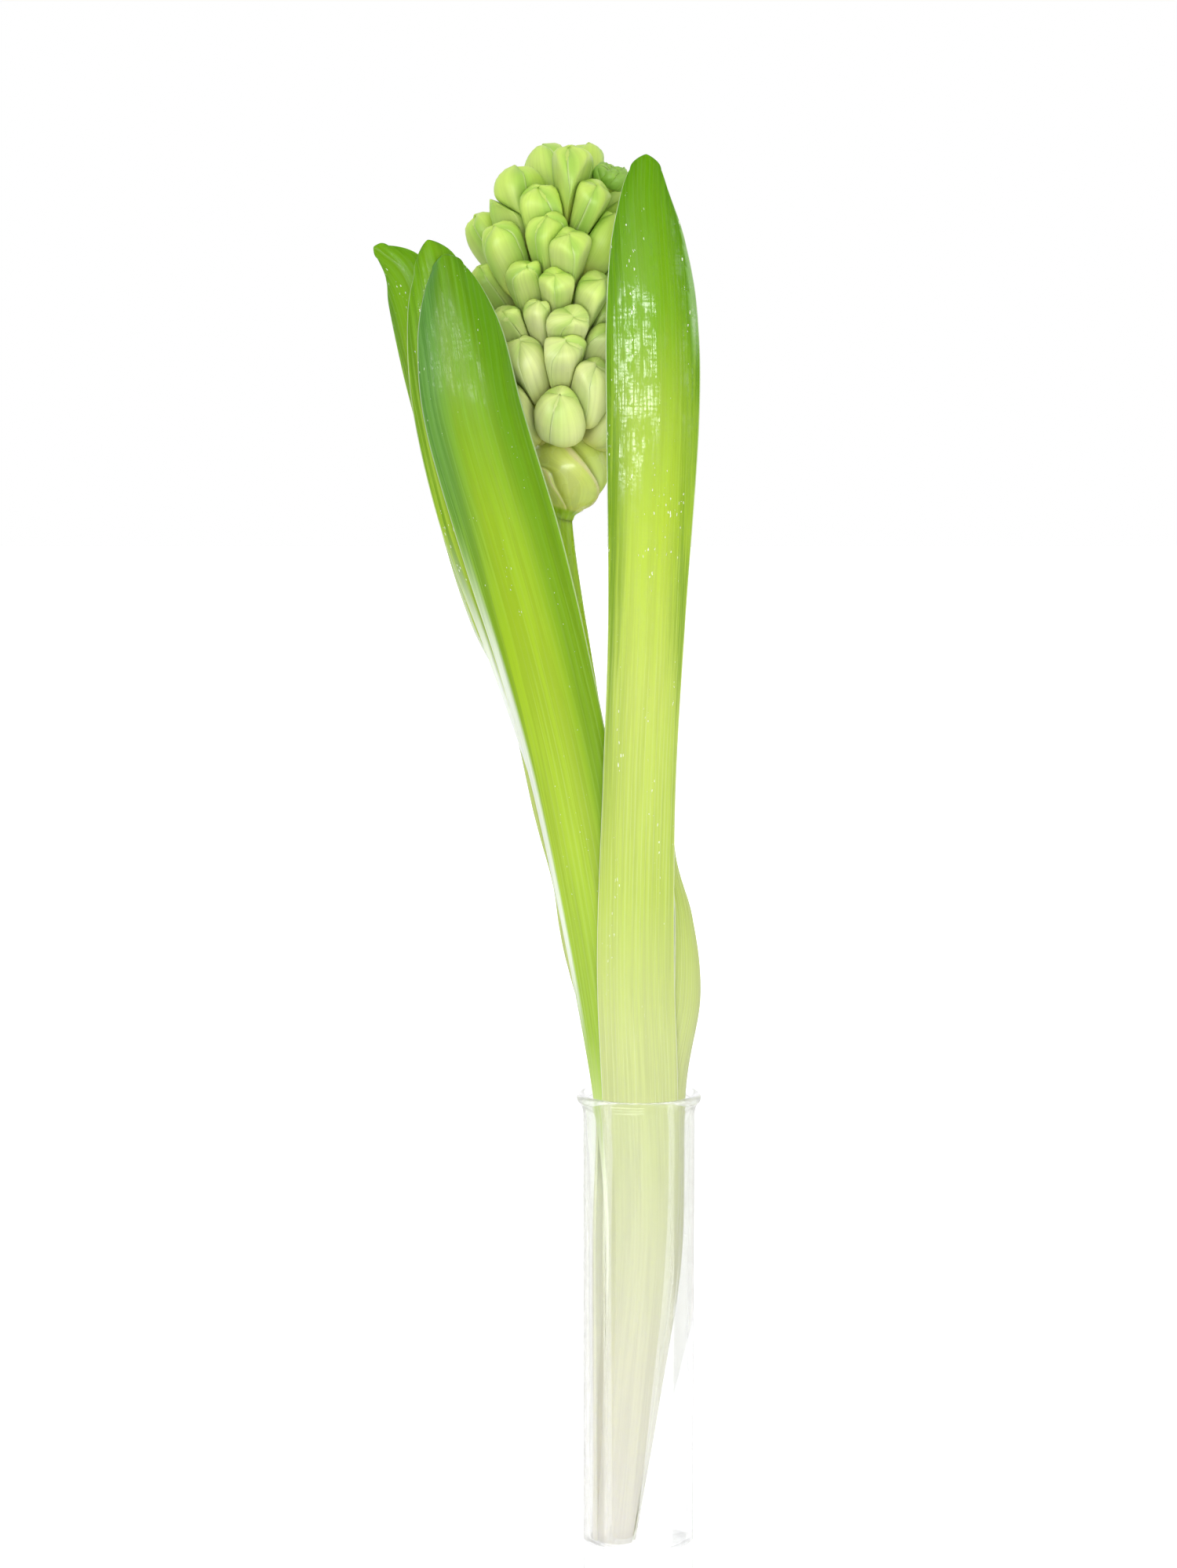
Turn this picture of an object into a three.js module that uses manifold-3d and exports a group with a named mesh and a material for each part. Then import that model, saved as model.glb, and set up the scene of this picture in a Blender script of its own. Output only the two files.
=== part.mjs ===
// A cut hyacinth in tight green bud, with five strap leaves, standing in a slim glass tube vase.
// Millimetres, +Z up, the front is -Y. The origin is the centre of the vase's underside.

import * as THREE from 'three';
import { mergeVertices } from 'three/addons/utils/BufferGeometryUtils.js';
import Module from 'manifold-3d';

const wasm = await Module();
wasm.setup();

// Driving dimensions -------------------------------------------------------------------------

const GAP = 0.3; // between neighbours that touch
const CUTTER = 80; // side of the box that makes a flat cut, larger than any floret

const VASE = {
  height: 135,
  radius: 13.5,
  wall: 1.5,
  floor: 23.7, // top of the solid glass under the stems
  footRadius: 24, // of the plain round foot
  footHeight: 6,
  footBevel: 1.2,
  footNeck: 2, // how far the foot rises and spreads where it meets the tube
  fillet: 0.8, // where the inside of the wall meets the floor
  rimRadius: 13.8, // centre of the rolled rim
  beadRadius: 1.25,
  flareHeight: 5, // the last stretch of the wall, which opens out to the rim
  segments: 48,
};

// Places along the stem: x, y, z and radius. It is the scape as far as the flared foot of the
// head, which is the widest place, and the axis of the head above it.
const STEM = [
  [-6.0, 0.0, 24, 3.0],
  [-3.6, 0.0, 60, 3.3],
  [-1.6, 1.0, 100, 3.8],
  [-1.5, 1.8, 135, 4.0],
  [-6.0, 1.8, 180, 4.1],
  [-13.0, 1.0, 225, 4.1],
  [-18.2, 0.0, 257, 4.1],
  [-20.2, 0.0, 272, 4.2],
  [-19.8, 0.0, 275, 4.3],
  [-19.2, 0.0, 277.5, 6.2],
  [-18.2, 0.0, 281, 8.8],
  [-17.4, 0.0, 286, 10.2],
  [-18.2, 0.0, 291, 8.4],
  [-18.9, 0.0, 296, 4.6],
  [-19.3, 0.0, 313, 4.2],
  [-18.6, 0.0, 331, 3.6],
  [-16.2, 0.0, 344, 2.6],
  [-10.6, -2.0, 351, 1.5],
];
const STEM_SIDES = 12;
const STEM_ROWS = 60;
// Blunt ribs on the flared foot only: where the radius is over "from", and as a share of it.
const RIBS = { count: 6, from: 5, depth: 0.09 };

// Each leaf is a strip laid through stations from the cut base up to the tip. A station holds
// x, y, z of the middle of the strip, half its width, the way that its outer face looks
// (degrees round the vase, 0 to the front, 90 to the right) and how far each half curls in.
const LEAVES = {
  leaf_front_right: [
    [-5.5, -5.0, 24.2, 4.9, 5, 56],
    [-2.2, -7.4, 60, 7.2, 2, 55],
    [0.8, -9.2, 100, 8.8, 0, 45],
    [0.2, -9.5, 135, 9.8, 0, 38],
    [-0.9, -11.6, 168, 9.9, 0, 36],
    [-0.2, -14.6, 210, 9.2, 0, 34],
    [1.4, -18.4, 250, 9.6, 0, 32],
    [2.7, -22.6, 295, 11.3, 0, 30],
    [2.5, -24.2, 320, 11.2, 0, 30],
    [1.5, -24.6, 337, 9.2, 0, 30],
    [0.8, -24.4, 348, 6.2, 0, 30],
    [0.9, -24.0, 354.6, 3.8, 0, 30],
    [1.0, -23.6, 358, 0.9, 0, 30],
  ],
  leaf_front_left: [
    [-7.9, -3.2, 24, 3.6, -30, 56],
    [-6.3, -3.7, 60, 4.4, -42, 50],
    [-5.2, -4.4, 100, 5.1, -39, 35],
    [-4.9, -5.7, 135, 8.0, -20, 35],
    [-8.8, -6.6, 168, 9.4, -14, 30],
    [-16.2, -10.3, 210, 10.4, -12, 26],
    [-23.0, -15.2, 240, 11.4, -10, 24],
    [-30.6, -19.8, 268, 12.4, -8, 24],
    [-38.8, -24.2, 297, 12.0, -6, 24],
    [-41.8, -25.6, 315, 10.6, -5, 24],
    [-43.6, -26.0, 326, 7.6, -5, 24],
    [-44.7, -25.8, 332.4, 4.2, -5, 24],
    [-45.3, -25.6, 335.2, 0.8, -5, 24],
  ],
  leaf_back_left: [
    [-7.9, 3.2, 24, 3.6, -150, 56],
    [-6.5, 4.0, 60, 4.2, -140, 46],
    [-7.6, 4.6, 100, 4.0, -118, 34],
    [-7.4, 1.4, 135, 4.6, -82, 44],
    [-11.2, -3.0, 170, 6.0, -35, 34],
    [-18.6, -6.4, 210, 9.2, -26, 28],
    [-27.0, -12.0, 245, 11.2, -14, 24],
    [-36.4, -17.2, 275, 11.8, -9, 24],
    [-42.6, -21.0, 302, 11.4, -6, 24],
    [-45.4, -22.4, 322, 9.4, -5, 24],
    [-47.4, -22.8, 332, 5.8, -5, 24],
    [-49.2, -22.6, 338.6, 0.8, -5, 24],
  ],
  leaf_far_left: [
    [-10.5, 1.7, 24.2, 4.6, -110, 56],
    [-10.5, 1.6, 52, 4.4, -102, 34],
    [-10.5, 2.3, 100, 4.4, -103, 28],
    [-9.4, 5.3, 135, 4.6, -116, 28],
    [-17.2, 8.8, 168, 6.2, -80, 26],
    [-19.0, 8.4, 185, 7.2, -62, 25],
    [-22.2, 6.4, 202, 8.2, -52, 24],
    [-27.2, 1.6, 232, 9.2, -42, 22],
    [-34.6, -1.2, 251, 9.6, -34, 22],
    [-39.8, -4.2, 270, 9.8, -28, 22],
    [-44.4, -7.4, 292, 9.8, -24, 22],
    [-48.8, -9.8, 310, 9.6, -22, 22],
    [-52.6, -11.4, 325, 8.6, -20, 24],
    [-55.8, -12.0, 332, 5.6, -20, 24],
    [-60.2, -12.6, 336, 2.2, -20, 24],
    [-62.2, -12.8, 337.4, 0.7, -20, 24],
  ],
  leaf_back_right: [
    [-2.1, 3.2, 24.3, 4.9, 130, 56],
    [4.4, 2.4, 60, 6.0, 110, 52],
    [9.8, 1.5, 95, 7.0, 97, 42],
    [10.5, 2.2, 135, 8.2, 95, 48],
    [14.0, 3.4, 158, 10.5, 93, 62],
    [11.9, 6.0, 176, 9.6, 104, 50],
    [6.6, 8.8, 192, 8.4, 118, 38],
    [4.2, 12.0, 214, 7.8, 138, 28],
    [3.0, 14.4, 260, 8.5, 150, 26],
    [3.4, 16.0, 310, 8.5, 152, 26],
    [3.3, 16.4, 332, 6.4, 152, 26],
    [3.0, 16.2, 344, 0.8, 152, 26],
  ],
};
const LEAF_THICKNESS = { edge: 0.8, base: 1.0, blade: 2.2 };
const LEAF_ACROSS = 6;
const LEAF_ALONG = 33;

// Closed florets on the front of the head, from the lowest up: turn round the stem (degrees,
// 0 to the front, plus to the right), height of the middle, its distance from the stem's axis,
// the rise of the floret over the level, its lean to the right, its length and its width.
const FLORETS = [
  [-45, 298, 14, 10, 0, 17, 11],
  [0, 298, 14.2, 12, 0, 16, 11.5],
  [60, 298, 13.5, 12, 0, 17, 11],
  [26, 303.5, 14.5, 15, 0, 17, 11.5],
  [-85, 303, 14, 20, 0, 17, 11],
  [88, 306, 14, 24, 0, 17, 11],
  [-24, 308.5, 14.5, 25, 0, 17, 12],
  [5, 310.5, 15.8, 18, -8, 15, 12.5],
  [42, 312.5, 14, 30, 0, 17, 11],
  [78, 316, 14.5, 38, 0, 17, 11],
  [-38, 316.5, 15.4, 42, 0, 17, 12],
  [-17, 318.5, 14, 45, 0, 16, 9.5],
  [5, 317.3, 16, 25, -5, 15, 12],
  [46, 319, 13, 38, 0, 16, 10],
  [-95, 320, 15, 35, 0, 17, 11],
  [28, 323.5, 14.8, 45, 0, 18, 12],
  [-68, 325.5, 16, 48, 0, 17, 11],
  [-26, 326.5, 15, 48, 6, 17, 11],
  [-5, 325.5, 15.8, 38, 0, 15, 11.5],
  [66, 330, 14, 50, 5, 17, 11],
  [-85, 337.5, 15.6, 62, -6, 18, 10.5],
  [-45, 334, 17.2, 62, -3, 18, 10],
  [-14, 335.5, 15.2, 58, 3, 18, 11],
  [2, 333, 16.5, 50, 4, 17, 12],
  [42, 337, 12.5, 60, 10, 16, 10],
  [80, 341, 13, 62, 8, 16, 10],
  [-62, 343.5, 14.4, 70, -3, 17, 10],
  [-26, 342.5, 12.8, 66, 6, 17.5, 12],
  [12, 345, 11, 58, 26, 18, 12.5],
  [-64, 347.5, 14.8, 74, 3, 17, 11.5],
  [-28, 351.2, 11.2, 76, 5, 18, 12.5],
];
const TWINS = { below: 340, withinTurn: 50, lift: 2, reach: 15 }; // their twins across the stem

// The florets behind the top, out of the twins' reach.
const TOP_FLORETS = [
  [-124, 353.4, 12.4, 82, -3, 17, 10.5],
  [-155, 353.4, 8.4, 84, 8, 17, 10],
  [135, 347, 10, 70, 6, 16, 10],
  [-160, 345, 14, 68, 0, 16, 10],
];

// A floret's outline from foot to tip: radius as a share of half its width, and height as a
// share of its length.
const FLORET_OUTLINE = [[0, 0], [0.3, 0.02], [0.74, 0.2], [1, 0.48], [0.92, 0.74], [0.56, 0.94], [0, 1]];
const FLORET_SIDES = 8;
const NEIGHBOUR_REACH = 18; // florets whose middles are nearer than this may press together
const LEAST_SIDEWAYS = 3; // nearer than this to end on end, two florets meet tip to foot

// The knot of tiny unopened florets at the end of the stem. The buds grow from the top of their
// spiral to its lowest turn, by shares of budRadius, and stop at "lowest", a share of the core.
const KNOT = {
  middle: [-6.9, -4.8, 352.6],
  radius: 2.8,
  buds: 11,
  budRadius: 1.7,
  smallest: 0.75,
  growth: 0.4,
  spread: 2.5,
  lowest: -0.5,
};

const COLOURS = {
  glass: 0xe9f1f0,
  leaf: 0x66a51f,
  stem: 0x9fb544,
  floret: 0xc9d982,
  youngFloret: 0x9dbb62,
};

// Helpers ------------------------------------------------------------------------------------

const radians = THREE.MathUtils.degToRad;

// The direction that looks out from the vase at a turn round it.
function outward(turn) {
  return new THREE.Vector3(Math.sin(radians(turn)), -Math.cos(radians(turn)), 0);
}

// A closed geometry as a solid for joining and cutting.
function toSolid(geometry) {
  const bare = geometry.clone();
  bare.deleteAttribute('normal');
  bare.deleteAttribute('uv');
  const welded = mergeVertices(bare, 1e-4);
  return new wasm.Manifold(new wasm.Mesh({
    numProp: 3,
    vertProperties: Float32Array.from(welded.attributes.position.array),
    triVerts: Uint32Array.from(welded.index.array),
  }));
}

function toGeometry(solid) {
  const { vertProperties, triVerts } = solid.getMesh();
  const geometry = new THREE.BufferGeometry();
  geometry.setAttribute('position', new THREE.BufferAttribute(vertProperties, 3));
  geometry.setIndex(new THREE.BufferAttribute(triVerts, 1));
  geometry.computeVertexNormals();
  return geometry;
}

// Moves every vertex of a geometry to where a function of its place puts it.
function mapVertices(geometry, placeOf) {
  const position = geometry.attributes.position;
  const from = new THREE.Vector3();
  for (let i = 0; i < position.count; i += 1) {
    from.fromBufferAttribute(position, i);
    position.setXYZ(i, ...placeOf(from).toArray());
  }
  return geometry;
}

// A smooth curve through three of the numbers of each station.
function curveThrough(stations, first) {
  const points = stations.map((station) => new THREE.Vector3(...station.slice(first, first + 3)));
  return new THREE.CatmullRomCurve3(points, false, 'catmullrom', 0.5);
}

// The box that covers everything near the florets beyond a plane, for cutting.
function beyondPlane(point, normal) {
  const box = new THREE.BoxGeometry(CUTTER, CUTTER, CUTTER);
  box.translate(0, 0, CUTTER / 2);
  box.applyQuaternion(new THREE.Quaternion().setFromUnitVectors(new THREE.Vector3(0, 0, 1), normal));
  box.translate(point.x, point.y, point.z);
  return toSolid(box);
}

// Vase ---------------------------------------------------------------------------------------

function vaseGeometry() {
  const inner = VASE.radius - VASE.wall;
  const beadZ = VASE.height - VASE.beadRadius;
  const flareZ = beadZ - VASE.flareHeight;
  const bead = [];
  for (let degrees = -60; degrees <= 180; degrees += 30) {
    bead.push([
      VASE.rimRadius + VASE.beadRadius * Math.cos(radians(degrees)),
      beadZ + VASE.beadRadius * Math.sin(radians(degrees)),
    ]);
  }
  const profile = [
    [0, 0],
    [VASE.footRadius - VASE.footBevel, 0],
    [VASE.footRadius, VASE.footBevel],
    [VASE.footRadius, VASE.footHeight - VASE.footBevel],
    [VASE.footRadius - VASE.footBevel, VASE.footHeight],
    [VASE.radius + VASE.footNeck, VASE.footHeight],
    [VASE.radius, VASE.footHeight + VASE.footNeck],
    [VASE.radius, flareZ],
    ...bead,
    [inner, flareZ],
    [inner, VASE.floor + VASE.fillet],
    [inner - VASE.fillet, VASE.floor],
    [0, VASE.floor],
  ];
  const geometry = new THREE.LatheGeometry(
    profile.map(([radius, height]) => new THREE.Vector2(radius, height)),
    VASE.segments,
  );
  return geometry.rotateX(Math.PI / 2);
}

// Stem ---------------------------------------------------------------------------------------

const stemPath = curveThrough(STEM, 0);
const stemRadii = curveThrough(STEM.map(([, , , radius]) => [radius, 0, 0]), 0);

// The middle of the stem at a height.
function stemAt(height) {
  let low = 0;
  let high = 1;
  while (high - low > 1e-4) {
    const middle = (low + high) / 2;
    if (stemPath.getPoint(middle).z < height) low = middle;
    else high = middle;
  }
  return stemPath.getPoint(low);
}

function stemGeometry() {
  const cylinder = new THREE.CylinderGeometry(1, 1, 1, STEM_SIDES, STEM_ROWS);
  const widest = Math.max(...STEM.map(([, , , radius]) => radius));
  return mapVertices(cylinder, ({ x, y, z }) => {
    const along = y + 0.5;
    const tangent = stemPath.getTangent(along);
    const front = new THREE.Vector3(0, -1, 0).projectOnPlane(tangent).normalize();
    const side = new THREE.Vector3().crossVectors(tangent, front);
    const radius = stemRadii.getPoint(along).x;
    const flare = Math.max(0, radius - RIBS.from) / (widest - RIBS.from);
    const rib = 1 + RIBS.depth * flare * Math.cos(RIBS.count * Math.atan2(x, z));
    return stemPath.getPoint(along)
      .addScaledVector(front, z * radius * rib)
      .addScaledVector(side, x * radius * rib);
  });
}

// Leaves -------------------------------------------------------------------------------------

// A box bent along the stations of a leaf: its x runs across the strip, its y through the
// thickness and its z along the leaf.
function leafGeometry(stations) {
  const path = curveThrough(stations, 0);
  const shape = curveThrough(stations, 3);
  const box = new THREE.BoxGeometry(2, 1, 1, LEAF_ACROSS, 1, LEAF_ALONG);
  const { edge, base, blade } = LEAF_THICKNESS;
  return mapVertices(box, ({ x, y, z }) => {
    const along = z + 0.5;
    const { x: halfWidth, y: turn, z: curl } = shape.getPoint(along);
    const tangent = path.getTangent(along);
    const out = outward(turn).projectOnPlane(tangent).normalize();
    const across = new THREE.Vector3().crossVectors(tangent, out);
    const angle = radians(curl) * x;
    const bend = halfWidth / radians(curl);
    const middle = base + (blade - base) * Math.sin(Math.PI * along);
    const thickness = edge + (middle - edge) * (1 - x * x);
    const normal = out.clone().multiplyScalar(Math.cos(angle)).addScaledVector(across, Math.sin(angle));
    return path.getPoint(along)
      .addScaledVector(across, bend * Math.sin(angle))
      .addScaledVector(out, -bend * (1 - Math.cos(angle)))
      .addScaledVector(normal, -y * thickness);
  });
}

// Florets ------------------------------------------------------------------------------------

// A closed floret as numbers: its middle, the way that it points, its length and its width.
function floret([turn, height, reach, rise, lean, length, width]) {
  const out = outward(turn);
  const up = new THREE.Vector3(Math.sin(radians(lean)), 0, Math.cos(radians(lean)));
  const point = out.clone().multiplyScalar(Math.cos(radians(rise)))
    .addScaledVector(up, Math.sin(radians(rise))).normalize();
  const middle = stemAt(height).addScaledVector(out, reach);
  middle.z = height;
  return { middle, point, length, width };
}

// A barrel with a narrow foot and a blunt tip.
function floretSolid({ middle, point, length, width }) {
  const geometry = new THREE.LatheGeometry(
    FLORET_OUTLINE.map(([radius, height]) => (
      new THREE.Vector2(radius * width / 2, (height - 0.5) * length)
    )),
    FLORET_SIDES,
  );
  geometry.applyQuaternion(new THREE.Quaternion().setFromUnitVectors(new THREE.Vector3(0, 1, 0), point));
  geometry.translate(middle.x, middle.y, middle.z);
  return toSolid(geometry);
}

// Florets press together: each is cut flat halfway to a neighbour, along the way they point.
function pressed(one, others) {
  let solid = floretSolid(one);
  for (const other of others) {
    const apart = new THREE.Vector3().subVectors(other.middle, one.middle);
    if (other === one || apart.length() > NEIGHBOUR_REACH) continue;
    const along = new THREE.Vector3().addVectors(one.point, other.point).normalize();
    const sideways = apart.clone().projectOnPlane(along);
    const normal = (sideways.length() > LEAST_SIDEWAYS ? sideways : apart).normalize();
    const halfway = new THREE.Vector3().addVectors(one.middle, other.middle).multiplyScalar(0.5);
    solid = solid.subtract(beyondPlane(halfway.addScaledVector(normal, -GAP / 2), normal));
  }
  return solid;
}

function allFlorets() {
  const front = FLORETS.map((numbers) => floret(numbers));
  const twins = FLORETS
    .filter(([turn, height]) => height < TWINS.below && Math.abs(turn) < TWINS.withinTurn)
    .map(([turn, height, reach, ...rest]) => floret(
      [turn + 180, height + TWINS.lift, Math.min(reach, TWINS.reach), ...rest],
    ));
  const top = TOP_FLORETS.map((numbers) => floret(numbers));
  return [...front, ...twins, ...top];
}

// Tiny buds in a spiral over a core, grown together.
function knotGeometry() {
  const goldenAngle = Math.PI * (3 - Math.sqrt(5));
  let knot = toSolid(new THREE.SphereGeometry(KNOT.radius, 10, 6));
  for (let i = 0; i < KNOT.buds; i += 1) {
    const along = i / KNOT.buds;
    const up = 1 - (1 - KNOT.lowest) * along;
    const out = Math.sqrt(1 - up * up);
    const size = KNOT.budRadius * (KNOT.smallest + KNOT.growth * along);
    const bud = new THREE.SphereGeometry(size, 8, 5);
    bud.translate(
      KNOT.spread * out * Math.cos(i * goldenAngle),
      KNOT.spread * out * Math.sin(i * goldenAngle),
      KNOT.spread * up,
    );
    knot = knot.add(toSolid(bud));
  }
  return toGeometry(knot).translate(...KNOT.middle);
}

// Assembly -----------------------------------------------------------------------------------

const hyacinth = new THREE.Group();

function material(color, roughness, options = {}) {
  return new THREE.MeshStandardMaterial({ color, roughness, metalness: 0, ...options });
}

function addPiece(name, geometry, finish) {
  const mesh = new THREE.Mesh(geometry, finish);
  mesh.name = name;
  hyacinth.add(mesh);
}

addPiece('vase', vaseGeometry(), material(COLOURS.glass, 0.03, { transparent: true, opacity: 0.35 }));
addPiece('flower_stem', stemGeometry(), material(COLOURS.stem, 0.4));
addPiece('floret_knot', knotGeometry(), material(COLOURS.youngFloret, 0.45));
for (const [name, stations] of Object.entries(LEAVES)) {
  addPiece(name, leafGeometry(stations), material(COLOURS.leaf, 0.35));
}
allFlorets().forEach((one, index, all) => {
  const name = `floret_${String(index + 1).padStart(2, '0')}`;
  addPiece(name, toGeometry(pressed(one, all)), material(COLOURS.floret, 0.45));
});

export default hyacinth;
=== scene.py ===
"""A cut hyacinth in tight green bud, with five strap leaves, standing in a slim glass tube vase.

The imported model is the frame. Each of its pieces is stood for by a finer one: leaves with veins and
a folded margin, buds of overlapping tepals, a stalk that flares into thin scales, and a glass tube.
"""

import logging
import math
import random
from collections.abc import Sequence
from dataclasses import dataclass, field
from enum import Enum
from typing import Protocol

import bmesh
import bpy
import numpy as np
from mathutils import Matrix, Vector


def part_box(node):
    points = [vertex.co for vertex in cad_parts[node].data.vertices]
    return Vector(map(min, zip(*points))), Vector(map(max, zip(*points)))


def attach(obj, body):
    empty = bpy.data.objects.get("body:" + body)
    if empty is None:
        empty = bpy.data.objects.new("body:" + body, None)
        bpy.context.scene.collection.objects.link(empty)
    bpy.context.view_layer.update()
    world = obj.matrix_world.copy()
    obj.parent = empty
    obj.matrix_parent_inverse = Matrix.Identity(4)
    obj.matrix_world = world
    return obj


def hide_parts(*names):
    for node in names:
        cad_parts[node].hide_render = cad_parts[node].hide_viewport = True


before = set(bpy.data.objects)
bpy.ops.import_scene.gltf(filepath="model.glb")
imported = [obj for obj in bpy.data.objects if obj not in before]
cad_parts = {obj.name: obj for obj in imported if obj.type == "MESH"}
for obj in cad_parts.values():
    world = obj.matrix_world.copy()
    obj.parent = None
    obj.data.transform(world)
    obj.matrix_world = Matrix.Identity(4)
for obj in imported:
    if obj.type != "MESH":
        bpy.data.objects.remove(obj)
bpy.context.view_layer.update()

log = logging.getLogger("hyacinth")

MM = 0.001
WELD = 1e-7  # metres within which points are merged
FULL_TURN = 2 * math.pi
BODY = "root"

Colour = tuple[int, int, int]  # display values from 0 to 255
Span = tuple[float, float]
Triple = tuple[float, float, float]

# Places that the frame's boxes can't give, in millimetres, close to the part's own.
# Along the stalk: x, y, z and radius.
STALK = (
    (-6.0, 0.0, 24, 3.0),
    (-3.6, 0.0, 60, 3.3),
    (-1.6, 1.0, 100, 3.8),
    (-1.5, 1.8, 135, 4.0),
    (-6.0, 1.8, 180, 4.1),
    (-13.0, 1.0, 225, 4.1),
    (-18.2, 0.0, 257, 4.1),
    (-20.2, 0.0, 272, 4.2),
    (-19.8, 0.0, 275, 4.3),
    (-19.2, 0.0, 277.5, 6.2),
    (-18.2, 0.0, 281, 8.8),
    (-17.4, 0.0, 286, 10.2),
    (-18.2, 0.0, 291, 8.4),
    (-18.9, 0.0, 296, 4.6),
    (-19.3, 0.0, 313, 4.2),
    (-18.6, 0.0, 331, 3.6),
    (-16.2, 0.0, 344, 2.6),
    (-10.6, -2.0, 351, 1.5),
)

# Along each leaf: x, y, z of its middle, half its width, the turn that its outer face looks to
# and how far each half curls in.
FRONT_RIGHT = (
    (-5.5, -5.0, 24.2, 4.9, 5, 56),
    (-2.2, -7.4, 60, 7.2, 2, 55),
    (0.8, -9.2, 100, 8.8, 0, 45),
    (0.2, -9.5, 135, 9.8, 0, 38),
    (-0.9, -11.6, 168, 9.9, 0, 36),
    (-0.2, -14.6, 210, 9.2, 0, 34),
    (1.4, -18.4, 250, 9.6, 0, 32),
    (2.7, -22.6, 295, 11.3, 0, 30),
    (2.5, -24.2, 320, 11.2, 0, 30),
    (1.5, -24.6, 337, 9.2, 0, 30),
    (0.8, -24.4, 348, 6.2, 0, 30),
    (0.9, -24.0, 354.6, 3.8, 0, 30),
    (1.0, -23.6, 358, 0.9, 0, 30),
)
FRONT_LEFT = (
    (-7.9, -3.2, 24, 3.6, -30, 56),
    (-6.3, -3.7, 60, 4.4, -42, 50),
    (-5.2, -4.4, 100, 5.1, -39, 35),
    (-4.9, -5.7, 135, 8.0, -20, 35),
    (-8.8, -6.6, 168, 9.4, -14, 30),
    (-16.2, -10.3, 210, 10.4, -12, 26),
    (-23.0, -15.2, 240, 11.4, -10, 24),
    (-30.6, -19.8, 268, 12.4, -8, 24),
    (-38.8, -24.2, 297, 12.0, -6, 24),
    (-41.8, -25.6, 315, 10.6, -5, 24),
    (-43.6, -26.0, 326, 7.6, -5, 24),
    (-44.7, -25.8, 332.4, 4.2, -5, 24),
    (-45.3, -25.6, 335.2, 0.8, -5, 24),
)
BACK_LEFT = (
    (-7.9, 3.2, 24, 3.6, -150, 56),
    (-6.5, 4.0, 60, 4.2, -140, 46),
    (-7.6, 4.6, 100, 4.0, -118, 34),
    (-7.4, 1.4, 135, 4.6, -82, 44),
    (-11.2, -3.0, 170, 6.0, -35, 34),
    (-18.6, -6.4, 210, 9.2, -26, 28),
    (-27.0, -12.0, 245, 11.2, -14, 24),
    (-36.4, -17.2, 275, 11.8, -9, 24),
    (-42.6, -21.0, 302, 11.4, -6, 24),
    (-45.4, -22.4, 322, 9.4, -5, 24),
    (-47.4, -22.8, 332, 5.8, -5, 24),
    (-49.2, -22.6, 338.6, 0.8, -5, 24),
)
FAR_LEFT = (
    (-10.5, 1.7, 24.2, 4.6, -110, 56),
    (-10.5, 1.6, 52, 4.4, -102, 34),
    (-10.5, 2.3, 100, 4.4, -103, 28),
    (-9.4, 5.3, 135, 4.6, -116, 28),
    (-17.2, 8.8, 168, 6.2, -80, 26),
    (-19.0, 8.4, 185, 7.2, -62, 25),
    (-22.2, 6.4, 202, 8.2, -52, 24),
    (-27.2, 1.6, 232, 9.2, -42, 22),
    (-34.6, -1.2, 251, 9.6, -34, 22),
    (-39.8, -4.2, 270, 9.8, -28, 22),
    (-44.4, -7.4, 292, 9.8, -24, 22),
    (-48.8, -9.8, 310, 9.6, -22, 22),
    (-52.6, -11.4, 325, 8.6, -20, 24),
    (-55.8, -12.0, 332, 5.6, -20, 24),
    (-60.2, -12.6, 336, 2.2, -20, 24),
    (-62.2, -12.8, 337.4, 0.7, -20, 24),
)
BACK_RIGHT = (
    (-2.1, 3.2, 24.3, 4.9, 130, 56),
    (4.4, 2.4, 60, 6.0, 110, 52),
    (9.8, 1.5, 95, 7.0, 97, 42),
    (10.5, 2.2, 135, 9.2, 95, 56),
    (14.0, 3.4, 158, 12.0, 93, 68),
    (11.9, 6.0, 176, 12.2, 104, 64),
    (6.6, 8.8, 192, 10.2, 118, 48),
    (4.2, 12.0, 214, 7.8, 138, 28),
    (3.0, 14.4, 260, 8.5, 150, 26),
    (3.4, 16.0, 310, 8.5, 152, 26),
    (3.3, 16.4, 332, 6.4, 152, 26),
    (3.0, 16.2, 344, 0.8, 152, 26),
)

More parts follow.
